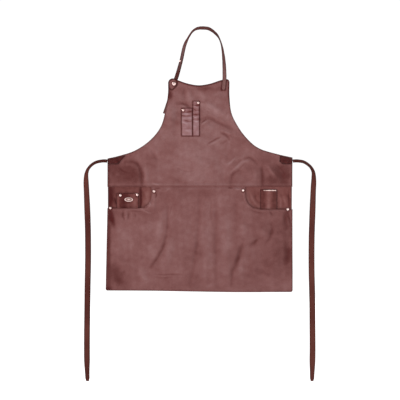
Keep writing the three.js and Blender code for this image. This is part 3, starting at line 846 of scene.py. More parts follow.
def make_sheet(name, outline, step, middle, thickness, looks, tone, round_w=1.6, edge_w=1.6, turned=None):
    """A closed sheet of leather. looks are its front, edge and back materials.

    middle(x, z) is where its middle lies and tone(x, z) is its front's tone. Its edge is rounded over round_w
    and painted over edge_w, but not where turned(x, z) is true, because the edge is turned under there."""
    points, triangles = fill(outline, step)
    a, b, c = (points[i] for i in triangles[0])
    if (b - a)[0] * (c - a)[1] - (b - a)[1] * (c - a)[0] < 0:
        triangles = [t[::-1] for t in triangles]
    x, z = points.T
    d = distance(x, z, outline, loop=True)
    y = middle(x, z)
    fullness = np.sqrt(1 - (1 - np.clip(d / round_w, 0, 1)) ** 2)
    half = thickness / 2 * (0.42 + 0.58 * fullness)
    n = len(points)
    vertices = np.vstack([np.stack([x, y - half, z], 1), np.stack([x, y + half, z], 1)])
    side = [(b, a, a + n, b + n) for a, b in border_of(triangles)]
    faces = triangles + [(a + n, c + n, b + n) for a, b, c in triangles] + side
    face_materials = [0] * len(triangles) + [2] * len(triangles) + [1] * len(side)
    edge = np.clip(1 - d / edge_w, 0, 1)
    if turned:
        edge[turned(x, z)] = 0
    attributes = {"edge": np.concatenate([edge, edge]), "tone": np.concatenate([tone(x, z), np.zeros(n)])}
    return new_object(name, vertices, faces, looks, face_materials, attributes)


# ---- Stitches: short rounded threads that sink in at both ends ----

STITCH_LENGTH = 3.1
STITCH_PITCH = 4.2
STITCH_R = 0.42
STITCH_SIDES = 6
# How far along a stitch, how thick there, and how deep in the leather.
STITCH_SHAPE = [(-0.5, 0.35, 0.55), (-0.34, 0.85, 0.1), (0.0, 1.0, -0.25), (0.34, 0.85, 0.1),
                (0.5, 0.35, 0.55)]


def stitch_ends(path):
    """Where every stitch along a path starts and where it ends."""
    path = np.array(path, float)
    s = lengths_along(path)
    at = np.arange(STITCH_PITCH / 2, s[-1] - STITCH_PITCH / 3, STITCH_PITCH)
    return [np.stack([np.interp(np.clip(at + shift, 0, s[-1]), s, path[:, i]) for i in range(2)], 1)
            for shift in (-STITCH_LENGTH / 2, STITCH_LENGTH / 2)]


def make_stitches(name, rows, material):
    """rows are (path, surface, face): surface(x, z) is what the thread lies on, which faces the front
    where face is 1 and the back where it is -1."""
    vertices = []
    faces = []
    for path, surface, face in rows:
        start, end = stitch_ends(path)
        if not len(start):
            continue
        middle = (start + end) / 2
        run = end - start
        size = np.linalg.norm(run, axis=1)
        along = run / size[:, None]
        y0 = surface(start[:, 0], start[:, 1])
        y1 = surface(end[:, 0], end[:, 1])
        for (mx, mz), (dx, dz), length, ya, yb in zip(middle, along, size, y0, y1):
            base = len(vertices)
            for t, girth, sink in STITCH_SHAPE:
                cx = mx + dx * t * length
                cz = mz + dz * t * length
                cy = (ya + yb) / 2 + (yb - ya) * t + face * sink
                for k in range(STITCH_SIDES):
                    a = 2 * math.pi * k / STITCH_SIDES
                    side = math.cos(a) * STITCH_R * girth
                    vertices.append((cx - dz * side, cy + math.sin(a) * STITCH_R * girth, cz + dx * side))
            faces += tube_faces(base, len(STITCH_SHAPE), STITCH_SIDES)
    return new_object(name, vertices, faces, [material], [0] * len(faces))


def inset(path, by):
    """The path moved sideways; above 0 is to the left of its direction."""
    path = np.array(path, float)
    run = np.gradient(path, axis=0)
    run /= np.maximum(np.linalg.norm(run, axis=1), 1e-9)[:, None]
    moved = path + by * np.stack([-run[:, 1], run[:, 0]], 1)
    d, _ = nearest(moved, path)
    return moved[d > 0.9 * abs(by)]


# ---- Straps ----

def strap_section(crown, groove):
    """(across, through, side) round a strap: side is 1 on the grain, -1 on the flesh, 0 on an edge.

    The grain is lower by crown at its edges, and by groove along the creased line beside each edge."""
    spots = [0.14, 0.4, 0.66, 0.74, 0.79, 0.84, 0.9, 0.97]
    spots = [-u for u in reversed(spots)] + spots
    ring = [(u, 1 - crown * u * u - groove * (abs(u) == 0.79) - 0.3 * (abs(u) > 0.95), 1) for u in spots]
    ring += [(1.0, 0.45 - crown, 0), (1.0, -0.45, 0)]
    ring += [(u, -1 + 0.3 * (abs(u) > 0.95), -1) for u in reversed(spots[::3] + spots[-1:])]
    ring += [(-1.0, -0.45, 0), (-1.0, 0.45 - crown, 0)]
    return ring


def read_off(pairs, place):
    """A number read off (place, value) pairs, with a smooth step between them."""
    places = [p for p, _ in pairs]
    i = int(np.clip(np.searchsorted(places, place), 1, len(pairs) - 1))
    (p0, v0), (p1, v1) = pairs[i - 1], pairs[i]
    return v0 + (v1 - v0) * float(step_up(place, p0, p1))


def strap_directions(tangent, turn):
    """Across a strap and out of its grain side, where it is turned by so many degrees about its own run."""
    a = math.radians(turn)
    in_plane = np.cross((0, 1, 0), tangent)
    in_plane /= np.linalg.norm(in_plane)
    wide = math.cos(a) * in_plane + math.sin(a) * np.array([0, 1, 0])
    return wide, np.cross(tangent, wide)


# Across a strap, from 0 in the middle to 1 at its side: where its edge paint starts and where that is full.
PAINT_FROM, PAINT_FULL = 0.86, 0.97
# Millimetres along a strap for each radian of its slight waviness and of its changes in tone.
LONG_WAVE, SHORT_WAVE = 31, 13
LONG_TONE, SHORT_TONE = 47, 19


def make_strap(name, path, turn, width, thickness, section, looks, rim, wobble, seed, shade):
    """A flat strap along a path. turn, width and shade (its tone) are read at each place from 0 to 1.

    rim is where across the strap its darker margin starts, how dark that is, and how light the middle is."""
    s = lengths_along(path)
    u = s / s[-1]
    tangent = np.gradient(path, axis=0)
    tangent /= np.linalg.norm(tangent, axis=1)[:, None]
    draw = np.random.RandomState(seed)
    phase = draw.uniform(0, 6.28, 6)
    vertices = []
    edge = []
    tone = []
    for i, (p, t) in enumerate(zip(path, tangent)):
        wide, thick = strap_directions(t, turn(u[i]))
        w = width(u[i])
        lift = wobble * (math.sin(s[i] / LONG_WAVE + phase[0]) + 0.6 * math.sin(s[i] / SHORT_WAVE + phase[1]))
        # light is the strap's own slow changes in tone plus the painted shade and light read off shade.
        light = 0.25 * math.sin(s[i] / LONG_TONE + phase[2]) + 0.18 * math.sin(s[i] / SHORT_TONE + phase[3])
        light += shade(u[i])
        for across, through, side in section:
            rise = through * thickness / 2 + lift * (across * across) * (1 if side >= 0 else 0)
            vertices.append(p + wide * (across * w / 2) + thick * rise)
            painted = max(0.0, (abs(across) - PAINT_FROM) / (PAINT_FULL - PAINT_FROM)) * 0.9
            edge.append(1.0 if side == 0 else painted)
            tone.append(light + rim[2] - rim[1] * step_up(abs(across), rim[0], 0.98))
    faces = tube_faces(0, len(path), len(section), flip=True)
    around = []
    for (_, _, side), (_, _, following) in zip(section, section[1:] + section[:1]):
        around.append(1 if 0 in (side, following) else (0 if 1 in (side, following) else 2))
    face_materials = around * (len(path) - 1) + [1, 1]
    return new_object(name, vertices, faces, looks, face_materials, {"edge": edge, "tone": tone})


# ---- Waist ties ----

LEFT_TIE = [
    (-0.3786, -0.0023, -0.533), (-0.391, -0.0023, -0.5322), (-0.406, -0.0023, -0.5336),
    (-0.424, -0.0023, -0.538), (-0.443, -0.0023, -0.550), (-0.456, -0.0023, -0.566),
    (-0.462, -0.0023, -0.583), (-0.4635, -0.0023, -0.602), (-0.462, -0.0023, -0.650),
    (-0.4585, -0.0023, -0.730), (-0.456, -0.0023, -0.810), (-0.4555, -0.0023, -0.930),
    (-0.4575, -0.0023, -1.040), (-0.459, -0.0023, -1.150), (-0.460, -0.0023, -1.260),
    (-0.4595, -0.0023, -1.350), (-0.4575, -0.0023, -1.413),
]
RIGHT_TIE = [
    (0.3626, -0.0023, -0.533), (0.375, -0.0023, -0.5322), (0.389, -0.0023, -0.533),
    (0.405, -0.0023, -0.536), (0.422, -0.0023, -0.5455), (0.436, -0.0023, -0.559),
    (0.445, -0.0023, -0.577), (0.447, -0.0023, -0.600), (0.445, -0.0023, -0.650),
    (0.4415, -0.0023, -0.740), (0.4385, -0.0023, -0.840), (0.438, -0.0023, -0.960),
    (0.4405, -0.0023, -1.070), (0.4415, -0.0023, -1.180), (0.442, -0.0023, -1.290),
    (0.440, -0.0023, -1.413),
]
# side: route, direction away from the apron, real length and tone; the tone is a painted shade, darker on the
# left tie.
TIES = {"left": (LEFT_TIE, -1, 0.938, -0.5), "right": (RIGHT_TIE, 1, 0.938, 0.0)}
TIE_TURN = [(0, 124), (0.08, 124), (0.17, 160), (0.3, 180), (1, 180)]
TIE_TIP = [(0, TIE_W), (0.9, TIE_W), (0.985, TIE_W * 0.74), (1, TIE_W * 0.5)]
# How far from its exit a tie starts and ends its bend, in metres; make_tie works these two places out but
# does not use them.
TIE_BEND = (0.002, 0.046)


def make_tie(side, looks):
    route, outward, length, tone = TIES[side]
    path = resample(curve(np.array(route) / MM, 24), 4.0)
    tie = make_strap(f"tie_{side}_strap", path, lambda u: outward * read_off(TIE_TURN, u),
                     lambda u: read_off(TIE_TIP, u), TIE_T, strap_section(crown=0.55, groove=0.22), looks,
                     rim=(0.62, 1.4, 0.2), wobble=0.18, seed=31 + outward, shade=lambda u: tone)
    start, end = ((route[0][0] + outward * reach, 0, TIE_Z * MM) for reach in TIE_BEND)
    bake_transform(tie)
    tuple(start)
    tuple(end)
    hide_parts(f"tie_{side}")
    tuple(route[0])


# ---- Neck strap ----

STRAP_Y = PANEL_T / 2 + GAP + STRAP_T / 2
LEFT_ARM = [(-101.5, STRAP_Y, FOLD_Z + 4), (-83.5, STRAP_Y, -132), (-69.5, 1.8, -71), (-57, 1.4, -43),
            (-37, 0.8, -13.5), (-22, 0.3, -4), (-8, 0, -0.8)]
RIGHT_ARM = [(8, 0, -0.8), (25, -0.3, -3.2), (44, -0.8, -14), (63, -1.2, -33), (74, -1.5, -55),
             (81.5, -1.8, -83), (88, -STRAP_Y, -137), (90, -STRAP_Y, FOLD_Z + 1)]
TAIL = [(-149, STRAP_Y, -344), (-131, STRAP_Y, -290), (-115, STRAP_Y, -238), (-106, STRAP_Y, -208)]
FRONT_END = [(89.6, -STRAP_Y, -208), (87.5, -STRAP_Y, -230), (85.5, -STRAP_Y, -249)]
# How the strap turns about its own run, in degrees: 180 shows its whole width to the front, 90 only its edge.
# The left arm goes up to the top of the arch, and the right arm goes down from there.
STRAP_TURN = {
    "left": [(0, 180), (0.14, 162), (0.3, 152), (0.48, 150), (0.58, 143), (0.7, 122), (0.78, 121),
             (0.86, 131), (0.93, 147), (1, 156)],
    "right": [(0.1, 154), (0.24, 138), (0.38, 113), (0.46, 115), (0.56, 126), (0.7, 142), (0.83, 158),
              (1, 180)],
}
# Where it is fastened on, it lies this much clear of the bib.
STRAP_CLEAR = 0.35
# Its painted shade and light at the tail, the left fold, half-way up, the apex, part-way down, the right fold
# and the end: darkest on the left arm, whose face turns from the light, lightest at the flat right end.
STRAP_SHADES = (-0.6, -1.8, -1.6, -0.8, -0.5, 0.3, 1.3)


def make_neck_strap(looks):
    left = curve(TAIL + LEFT_ARM, 14)
    right = curve(RIGHT_ARM + FRONT_END, 14)
    path = resample(np.vstack([left, right]), 3.0)
    s = lengths_along(path)
    total = s[-1]
    x, y, z = path.T
    on_bib = step_up(FOLD_Z - z, -4, 14)
    path[:, 1] = y - on_bib * (drape(x, z) + np.where(x > 0, STRAP_CLEAR, -STRAP_CLEAR))
    apex = s[np.argmin(np.abs(x))]
    left_start = s[np.argmin(np.abs(z - LEFT_ARM[0][2]) + 1000 * (x > 0))]
    right_end = s[np.argmin(np.abs(z - RIGHT_ARM[-1][2]) + 1000 * (x < 0))]
    spots = [(0, 180)]
    spots += [(left_start + k * (apex - left_start), v) for k, v in STRAP_TURN["left"]]
    spots += [(apex + k * (right_end - apex), v) for k, v in STRAP_TURN["right"]]
    spots += [(total, 180)]
    turns = [(place / total, value) for place, value in spots]
    half_up = left_start + 0.5 * (apex - left_start)
    part_down = apex + 0.4 * (right_end - apex)
    places = (0, left_start, half_up, apex, part_down, right_end, total)
    painted_shades = [(place / total, value) for place, value in zip(places, STRAP_SHADES)]

    def width(u):
        """The far end is rounded off."""
        r = STRAP_W / 2
        short = max(r - (1 - u) * total, 0)
        return 2 * math.sqrt(max(r * r - short ** 2, 0.6))

    strap = make_strap("neck_strap_leather", path, lambda u: read_off(turns, u), width, STRAP_T,
                       strap_section(crown=0.25, groove=0.25), looks, rim=(0.5, 2.2, 0.9), wobble=0.06,
                       seed=5, shade=lambda u: read_off(painted_shades, u))
    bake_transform(strap)
    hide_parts("neck_strap", "strap_end_left", "strap_end_right")


# ---- Metal ----

# Points round a rivet or a stud.
ROUND = 32


def lathe(profile, place, outward, start):
    """Vertices, numbered from start, and faces of a turned solid; profile is (radius, height) pairs."""
    outward = outward / np.linalg.norm(outward)
    side = np.cross(outward, (0, 0, 1) if abs(outward[2]) < 0.9 else (1, 0, 0))
    side /= np.linalg.norm(side)
    up = np.cross(side, outward)
    vertices = []
    for r, h in profile:
        for k in range(ROUND):
            a = 2 * math.pi * k / ROUND
            vertices.append(np.array(place) + outward * h + (side * math.cos(a) + up * math.sin(a)) * r)
    return vertices, tube_faces(start, len(profile), ROUND, flip=True)


# Shares of a cap's radius and height: its rolled rim and the shallow step up to its dome.
CAP_RIM = [(0.93, 0), (1, 0.16), (1, 0.34), (0.95, 0.50), (0.88, 0.54), (0.83, 0.52)]
CAP_DOME = [(0.80 * math.cos(a), 0.62 + 0.38 * math.sin(a)) for a in np.radians([0, 20, 40, 58, 74, 87])]
BACK_CAP = [(0.94, 0), (1, 0.3), (0.98, 0.6), (0.84, 0.86), (0.55, 1), (0.42, 0.93), (0.2, 0.86),
            (0.02, 0.84)]

# Cap radius and height, post radius, back cap radius and height.
RIVET = (4.8, 2.1, 1.5, 4.4, 1.8)
STUD = (7.2, 3.2, 2.0, 6.4, 2.1)
STRAP_STUD = (4.2, 2.6, 1.6, 4.6, 1.7)
# The spare stud on the strap: how far up the left arm, how far off its middle, and its tone, a painted shade
# as the stud sits on the loop's shaded side.
STUD_PLACE = 0.285
STUD_SHIFT = 3.4
STUD_SHADE = -0.4


def make_fastener(name, kind, front_at, back_at, outward, metal, body, tone=0.0):
    """A cap on a post, and a back cap at the post's other end."""
    cap_r, cap_h, post_r, back_r, back_h = kind
    outward = np.array(outward, float)
    depth = np.linalg.norm(np.subtract(back_at, front_at))
    cap = [(post_r, -depth), (post_r, 0)] + [(cap_r * r, cap_h * h) for r, h in CAP_RIM + CAP_DOME]
    back_cap = [(back_r * r, back_h * h) for r, h in BACK_CAP]
    front, front_faces = lathe(cap, front_at, outward, 0)
    back, back_faces = lathe(back_cap, back_at, -outward, len(front))
    vertices = front + back
    faces = front_faces + back_faces
    piece = new_object(f"{name}_set", vertices, faces, [metal], [0] * len(faces),
                       {"tone": [tone] * len(vertices)})
    attach(piece, body, "rose_gold", f"{name}_cap", f"{name}_back")


def fasten(name, kind, x, z, y_front, y_back, metal, body):
    """A fastener straight through the layers between y_front and y_back."""
    make_fastener(name, kind, (x, y_front, z), (x, y_back, z), (0, -1, 0), metal, body)


def make_strap_stud(metal):
    """The spare stud, through the strap's grain where the left arm has turned."""
    path = curve(LEFT_ARM, 40)
    s = lengths_along(path)
    i = int(np.argmin(np.abs(s - STUD_PLACE * s[-1])))
    tangent = path[i + 1] - path[i - 1]
    tangent /= np.linalg.norm(tangent)
    wide, outward = strap_directions(tangent, read_off(STRAP_TURN["left"], STUD_PLACE))
    middle = path[i] + wide * STUD_SHIFT
    lift = outward * (STRAP_T / 2 + 0.35)
    make_fastener("strap_stud", STRAP_STUD, middle + lift, middle - lift, outward, metal, "neck_loop",
                  STUD_SHADE)


# ---- Bib ----

PEN_LEFT, PEN_MIDDLE, PEN_RIGHT = -82.5, -37.5, -9.5
PEN_BOTTOM, WIDE_TOP, NARROW_TOP = -434.0, -322.0, -293.5
# The pen pockets, wide and narrow: left, lower, right and upper edge.
PEN_BOXES = [
    (PEN_LEFT, PEN_BOTTOM, PEN_MIDDLE - 0.2, WIDE_TOP),
    (PEN_MIDDLE + 0.2, PEN_BOTTOM, PEN_RIGHT, NARROW_TOP),
]
CORNER_STUD = (-112, -224)
# How far above the waist the bib's turned foot reaches, and where the rows of seam stitches lie on the bib
# and on the skirt, in millimetres.
SEAM_BAND = 13.0
SEAM_STITCH_BIB = WAIST_Z + 5.5
SEAM_STITCH_SKIRT = WAIST_Z - 7.0
# The outline that the strap's right end covers on the bib.
STRAP_END = [(97.6, -200), (95.6, -230), (93.6, -250), (77.4, -250), (79.4, -230), (81.4, -200)]


def box_outline(box):
    x0, z0, x1, z1 = box
    return [(x0, z0), (x1, z0), (x1, z1), (x0, z1)]


def teardrop():
    """Outline of the tab on the bib's left corner."""
    x, z, r = LEFT_CORNER
    tail = curve([(x - 16.2, z - 8), (x - 13.5, z - 20), (x - 2.5, z - 27.5), (x + 8, z - 18.5)])
    return closed(arc(x + 0.9, z - 1.2, r - 0.9, -62, 200, 30), tail[1:-1], step=1.6)


def seam_relief(x, z):
    """The bib's foot, turned under and sewn over the skirt: a rounded ridge with a crisp lower side."""
    above = z - WAIST_Z
    ridge = step_up(SEAM_BAND - above, 0, 5.0) * step_up(above, -2.0, 1.2)
    groove = bell(z - SEAM_STITCH_BIB, 1.5)
    pucker = np.sin(2 * math.pi * x / 15.0) * bell(above - SEAM_BAND, 5)
    return np.where(above > -3, 1.15 * ridge - 0.35 * groove + 0.18 * pucker, 0.0)


BIB_EDGE_PATH = resample(bib_edges(), 6)
TAB_OUTLINE = teardrop()


def bib_middle(x, z):
    return -(panel_relief(x, z) + hem_relief(x, z, BIB_EDGE_PATH) + seam_relief(x, z))


def bib_front(x, z):
    return bib_middle(x, z) - PANEL_T / 2


def bib_back(x, z):
    return bib_middle(x, z) + PANEL_T / 2


def outline_shade(x, z, outline, width, amount):
    """The dark line along an outline: painted shadow where it lies on leather beside a sewn-on piece, and a
    darker border where it lies along a piece's own edge.
    """
    return -amount * bell(distance(x, z, outline, loop=True), width)


def rivet_shade(x, z, places, r=6.0, amount=1.3):
    """A dark ring round each rivet, a little stronger below it on the right."""
    tone = np.zeros_like(x)
    for rx, rz in places:
        d = np.hypot(x - rx - 1.0, z - rz + 1.0)
        tone -= amount * bell(d - r, 2.6)
    return tone


def bib_tone(x, z):
    above = z - WAIST_Z
    # Painted light on the waist seam's ridge and painted shade along its lower edge.
    band = 0.40 * bell(above - 9, 4) - 0.55 * bell(above, 2.4)
    d = distance(x, z, BIB_EDGE_PATH)
    near_top = step_up(z, -330, -262)
    rim = -(0.7 + 2.2 * near_top) * bell(d, 3.0 + 2.6 * near_top)
    # Painted shadows on the bib round the pen pockets, the corner tab and the strap's end.
    lines = sum(outline_shade(x, z, box_outline(box), 2.6, 1.5) for box in PEN_BOXES)
    lines = lines + outline_shade(x, z, TAB_OUTLINE, 2.6, 2.0) + outline_shade(x, z, STRAP_END, 3.2, 1.8)
    return panel_tone(x, z) + band + rim + lines


def make_bib(looks):
    bib = make_sheet("bib_leather", closed(bib_edges(), step=3.0), 2.9, bib_middle, PANEL_T, looks["panel"],
                     bib_tone, edge_w=3.4, turned=lambda x, z: z < BIB_FOOT + 6)
    edge_row = inset(resample(bib_edges(), 2.0), -STITCH_IN)
    seam_row = resample([(SIDE_LEFT + 6, SEAM_STITCH_BIB), (SIDE_RIGHT - 7, SEAM_STITCH_BIB)], 5)
    rows = [(row, surface, face) for surface, face in ((bib_front, 1), (bib_back, -1))
            for row in (edge_row, seam_row)]
    stitches = make_stitches("bib_stitching", rows, looks["thread"])
    for piece in (bib, stitches):
        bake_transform(piece)
    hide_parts("bib_panel", "waist_seam")


def soft_front(x, z):
    """The bib's front without sharp creases: what is sewn on lies on this."""
    return -drape(x, z) - PANEL_T / 2


def crossing_wrinkles(x, z, box, wrinkles):
    """wrinkles are (z, slant, half width, height): bent bands across a narrow pocket."""
    x0, _, x1, _ = box
    u = (2 * x - x0 - x1) / (x1 - x0)
    total = np.zeros_like(x)
    for k, (level, slant, half_width, rise) in enumerate(wrinkles):
        line = level + slant * u - 2.0 * (1 - u * u) + 1.3 * np.sin(3.3 * u + 2.3 * k)
        uneven = 0.62 + 0.38 * np.sin(2.6 * u + 1.9 * k)
        total += rise * bell(z - line, half_width) * (1 - 0.55 * u * u) * uneven
    return total


# height, slant, half width and rise
WIDE_WRINKLES = [
    (-336, 1.5, 2.8, -1.3), (-344, 1.0, 3.0, 1.1), (-351, 2.0, 2.4, -1.0), (-360, -1.0, 3.0, 1.0),
    (-371, -1.5, 3.4, -0.9), (-379, -1.0, 3.0, 0.8), (-402, 1.0, 3.0, -0.5), (-409, 1.0, 4.0, 0.5),
]
NARROW_WRINKLES = [
    (-309, -1.0, 2.6, -1.5), (-316, -1.5, 2.6, 1.1), (-327, -3.0, 2.8, -1.3), (-336, 0.5, 3.0, 1.0),
    (-346, 1.5, 2.4, -1.3), (-355, 1.0, 2.6, 1.1), (-365, 1.0, 2.2, -1.3), (-373, 1.0, 2.6, 1.0),
    (-392, 0.0, 3.0, 0.4),
]


def pressed_by(x, z, rivets):
    """How much of a pocket's fullness is left: little of it beside a rivet."""
    return flattened(x, z, [(rx, rz, 11.0) for rx, rz in rivets], 0.9)


def patch_middle(x, z, box, base, bulge, wrinkles, rivets):
    """A patch sewn at its sides and foot: full in the middle, with an open, loose top."""
    x0, z0, x1, z1 = box
    u = np.clip((x - x0) / (x1 - x0), 0, 1)
    v = np.clip((z - z0) / (z1 - z0), 0, 1)
    across = 1 - np.abs(2 * u - 1) ** 3.2
    upward = step_up(v, 0, 0.22) * (0.72 + 0.28 * v)
    full = bulge * across * upward
    seam = -0.3 * bell(np.minimum(x - x0, x1 - x) - 2.6, 1.1)
    seam += -0.3 * bell(z - z0 - 2.6, 1.1)
    crumple = crossing_wrinkles(x, z, box, wrinkles) + 0.16 * waves(x, z, 17, 41)
    return base(x, z) - (full + crumple * across) * pressed_by(x, z, rivets) - seam


def patch_tone(x, z, box, wrinkles, rivets):
    x0, z0, x1, z1 = box
    near = np.minimum(np.minimum(x - x0, x1 - x), z - z0)
    # Darker along the pocket's sides, foot and open top; painted shade over its upper part; painted shade in
    # the wrinkles' valleys and painted light on their ridges; a painted shadow round the rivet.
    tone = 0.45 - 2.7 * bell(near, 2.5) - 0.9 * bell(z1 - z, 2.0)
    tone = tone + 0.18 * waves(x, z, 20, 43) + rivet_shade(x, z, rivets) - 0.55 * step_up(z, -372, -340)
    return tone + 1.3 * crossing_wrinkles(x, z, box, wrinkles)


def side_and_foot(box, inward, foot):
    """The row of stitches down one side of a pocket, along its foot and up the other."""
    x0, z0, x1, z1 = box
    left, right, low, high = x0 + inward, x1 - inward, z0 + foot, z1 - 2
    return resample([(left, high), (left, low), (right, low), (right, high)], 2.0)


def pen_base(x, z):
    return soft_front(x, z) - POCKET_T / 2 - 0.75


def make_pen_pocket(name, box, wrinkles, rivet, bulge, looks):
    def middle(x, z):
        return patch_middle(x, z, box, pen_base, bulge, wrinkles, [rivet])

    def front(x, z):
        return middle(x, z) - POCKET_T / 2

    def tone(x, z):
        return patch_tone(x, z, box, wrinkles, [rivet])

    leather_name = f"pen_pocket_{name}_leather"
    piece = make_sheet(leather_name, rectangle(*box, 1.4, 1.5), 1.5, middle, POCKET_T, looks["pocket"], tone,
                       round_w=1.0, edge_w=1.4)
    attach(piece, "bib", "pocket_leather", f"pen_pocket_{name}")
    rows = [(side_and_foot(box, 2.6, 2.6), front, 1)]
    attach(make_stitches(f"{leather_name}_stitching", rows, looks["thread"]), "bib", "pocket_leather")
    x, z = rivet
    y = -value_at(drape, x, z)
    fasten(f"pen_rivet_{name}", RIVET, x, z, y - PANEL_T / 2 - POCKET_T - 1.1, y + PANEL_T / 2 + 0.2,
           looks["metal"], "bib")


def make_pen_pockets(looks):
    wide, narrow = PEN_BOXES
    make_pen_pocket("wide", wide, WIDE_WRINKLES, (-75.5, -329.5), 3.0, looks)
    make_pen_pocket("narrow", narrow, NARROW_WRINKLES, (-15.5, -300), 2.6, looks)


def make_corner_tab(looks):
    stitch_in = 2.4

    def middle(x, z):
        groove = 0.25 * bell(distance(x, z, TAB_OUTLINE, loop=True) - stitch_in, 1.0)
        return soft_front(x, z) - 1.5 - 0.25 * waves(x, z, 22, 51) * calm(x, z) + groove

    def front(x, z):
        return middle(x, z) - PANEL_T / 2

    def tone(x, z):
        return -0.15 + outline_shade(x, z, TAB_OUTLINE, 2.8, 2.0) + rivet_shade(x, z, [CORNER_STUD], r=8.6)

    tab = make_sheet("corner_tab_leather", TAB_OUTLINE, 1.6, middle, PANEL_T, looks["panel"], tone,
                     round_w=1.0, edge_w=2.2)
    attach(tab, "bib", "panel_leather", "corner_tab")
    rows = [(inset(np.vstack([TAB_OUTLINE, TAB_OUTLINE[:1]]), stitch_in), front, 1)]
    attach(make_stitches("corner_tab_stitching", rows, looks["thread"]), "bib", "panel_leather")
    x, z = CORNER_STUD
    y = -value_at(drape, x, z)
    fasten("corner_stud", STUD, x, z, y - PANEL_T / 2 - 2.4, y + PANEL_T / 2 + STRAP_T + 0.9,
           looks["metal"], "bib")


# The outlines of the ties' sewn ends.
ANCHOR_FOOT = TIE_Z - 13
ANCHOR = {
    "left": [(SIDE_LEFT + 0.5, ANCHOR_FOOT), (-336, ANCHOR_FOOT), (-306, -510.5), (-331, -516.5),
             (SIDE_LEFT + 0.5, -527.5)],
    "right": [(SIDE_RIGHT - 0.5, ANCHOR_FOOT), (SIDE_RIGHT - 0.5, -523.5), (312, -512.5), (310, -534),
              (322, ANCHOR_FOOT)],
}


def anchor_middle(x, z):
    return soft_front(x, z) - TIE_T / 2 - 0.35 + 0.15 * waves(x, z, 16, 61)


def anchor_front(x, z):
    return anchor_middle(x, z) - TIE_T / 2


def make_anchor(side, looks):
    """The sewn end of a tie: thick dark leather with a stitched border and a stitched cross."""
    corners = ANCHOR[side]
    outline = resample(corners + corners[:1], 1.6)[:-1]

    def tone(x, z):
        return 0.1 + 0.4 * waves(x, z, 18, 62) + outline_shade(x, z, outline, 3.0, 1.2)

    piece = make_sheet(f"tie_anchor_{side}_leather", outline, 1.7, anchor_middle, TIE_T, looks["dark"], tone,
                       round_w=1.2, edge_w=1.6)
    attach(piece, "bib", "dark_leather", f"tie_anchor_{side}")
    centre = np.mean(corners, axis=0)
    border = [tuple(centre + 0.84 * (np.array(corner) - centre)) for corner in corners]
    paths = [border + border[:1], [border[0], border[2]], [border[1], border[-1]]]
    rows = [(resample(path, 2), anchor_front, 1) for path in paths]
    attach(make_stitches(f"tie_anchor_{side}_stitching", rows, looks["thread"]), "bib", "dark_leather")


# ---- Skirt ----

SKIRT_HEM_PATH = resample(skirt_hem(), 8)
MOUTH_PATHS = [resample(left_mouth(), 5), resample(right_mouth(), 5)]
# Each hip pocket: the bag's sides, the mouth's left, right and lowest place, and its two rivets.
HIP = {
    "left": {"x0": -376.5, "x1": -184, "mouth": (-378, -202, -722),
             "inner": (-192, -654), "side": (-367, -721)},
    "right": {"x0": 156, "x1": 359.5, "mouth": (174, 362, -726),
              "inner": (164, -650), "side": (343, -726)},
}


def skirt_middle(x, z):
    """The hem lies on the free edges; the top edge is tucked under the bib's foot."""
    below = WAIST_Z - z
    tuck = -0.55 * (1 - step_up(below, 0, 7)) - 0.25 * bell(z - SEAM_STITCH_SKIRT, 1.5)
    hem = hem_relief(x, z, SKIRT_HEM_PATH)
    for mouth in MOUTH_PATHS:
        hem = hem + hem_relief(x, z, mouth)
    return -(panel_relief(x, z) + hem + tuck)


def skirt_front(x, z):
    return skirt_middle(x, z) - PANEL_T / 2


def skirt_back(x, z):
    return skirt_middle(x, z) + PANEL_T / 2


def skirt_tone(x, z):
    below = WAIST_Z - z
    # Painted shade along the waist seam's line, where the skirt goes under the bib's foot, with a lighter
    # band below it.
    tone = panel_tone(x, z) - 0.5 * bell(below, 2.6) + 0.2 * bell(below - 9, 4)
    for mouth in MOUTH_PATHS:
        d = distance(x, z, mouth)
        tone = tone - 0.35 * bell(d, 2.4) + 0.15 * bell(d - 6, 3)
    tone = tone - 0.8 * bell(distance(x, z, SKIRT_HEM_PATH), 3.0)
    return tone + rivet_shade(x, z, [HIP[side][end] for side in HIP for end in ("inner", "side")])


def skirt_turned(x, z):
    return (z > SKIRT_TOP - 6) | np.any([distance(x, z, mouth) < 4 for mouth in MOUTH_PATHS], axis=0)


def make_skirt(looks):
    outline = closed(left_mouth(), skirt_hem(), right_mouth()[::-1], step=3.2)
    skirt = make_sheet("skirt_leather", outline, 3.3, skirt_middle, PANEL_T, looks["panel"], skirt_tone,
                       edge_w=1.8, turned=skirt_turned)
    hem_row = inset(resample(skirt_hem(), 2.0), STITCH_IN)
    left_row = inset(resample(left_mouth(), 2.0), STITCH_IN)
    right_row = inset(resample(right_mouth(), 2.0), -STITCH_IN)
    seam_row = resample([(-200, SEAM_STITCH_SKIRT), (172, SEAM_STITCH_SKIRT)], 5)
    rows = [(row, skirt_front, 1) for row in (hem_row, left_row, right_row, seam_row)]
    rows += [(row, skirt_back, -1) for row in (hem_row, seam_row)]
    attach(skirt, "skirt", "panel_leather", "skirt_panel")
    attach(make_stitches("skirt_stitching", rows, looks["thread"]), "skirt", "panel_leather")


# Both pocket bags' upper and lower edge.
HIP_TOP = -631.0
HIP_BOTTOM = -891.0
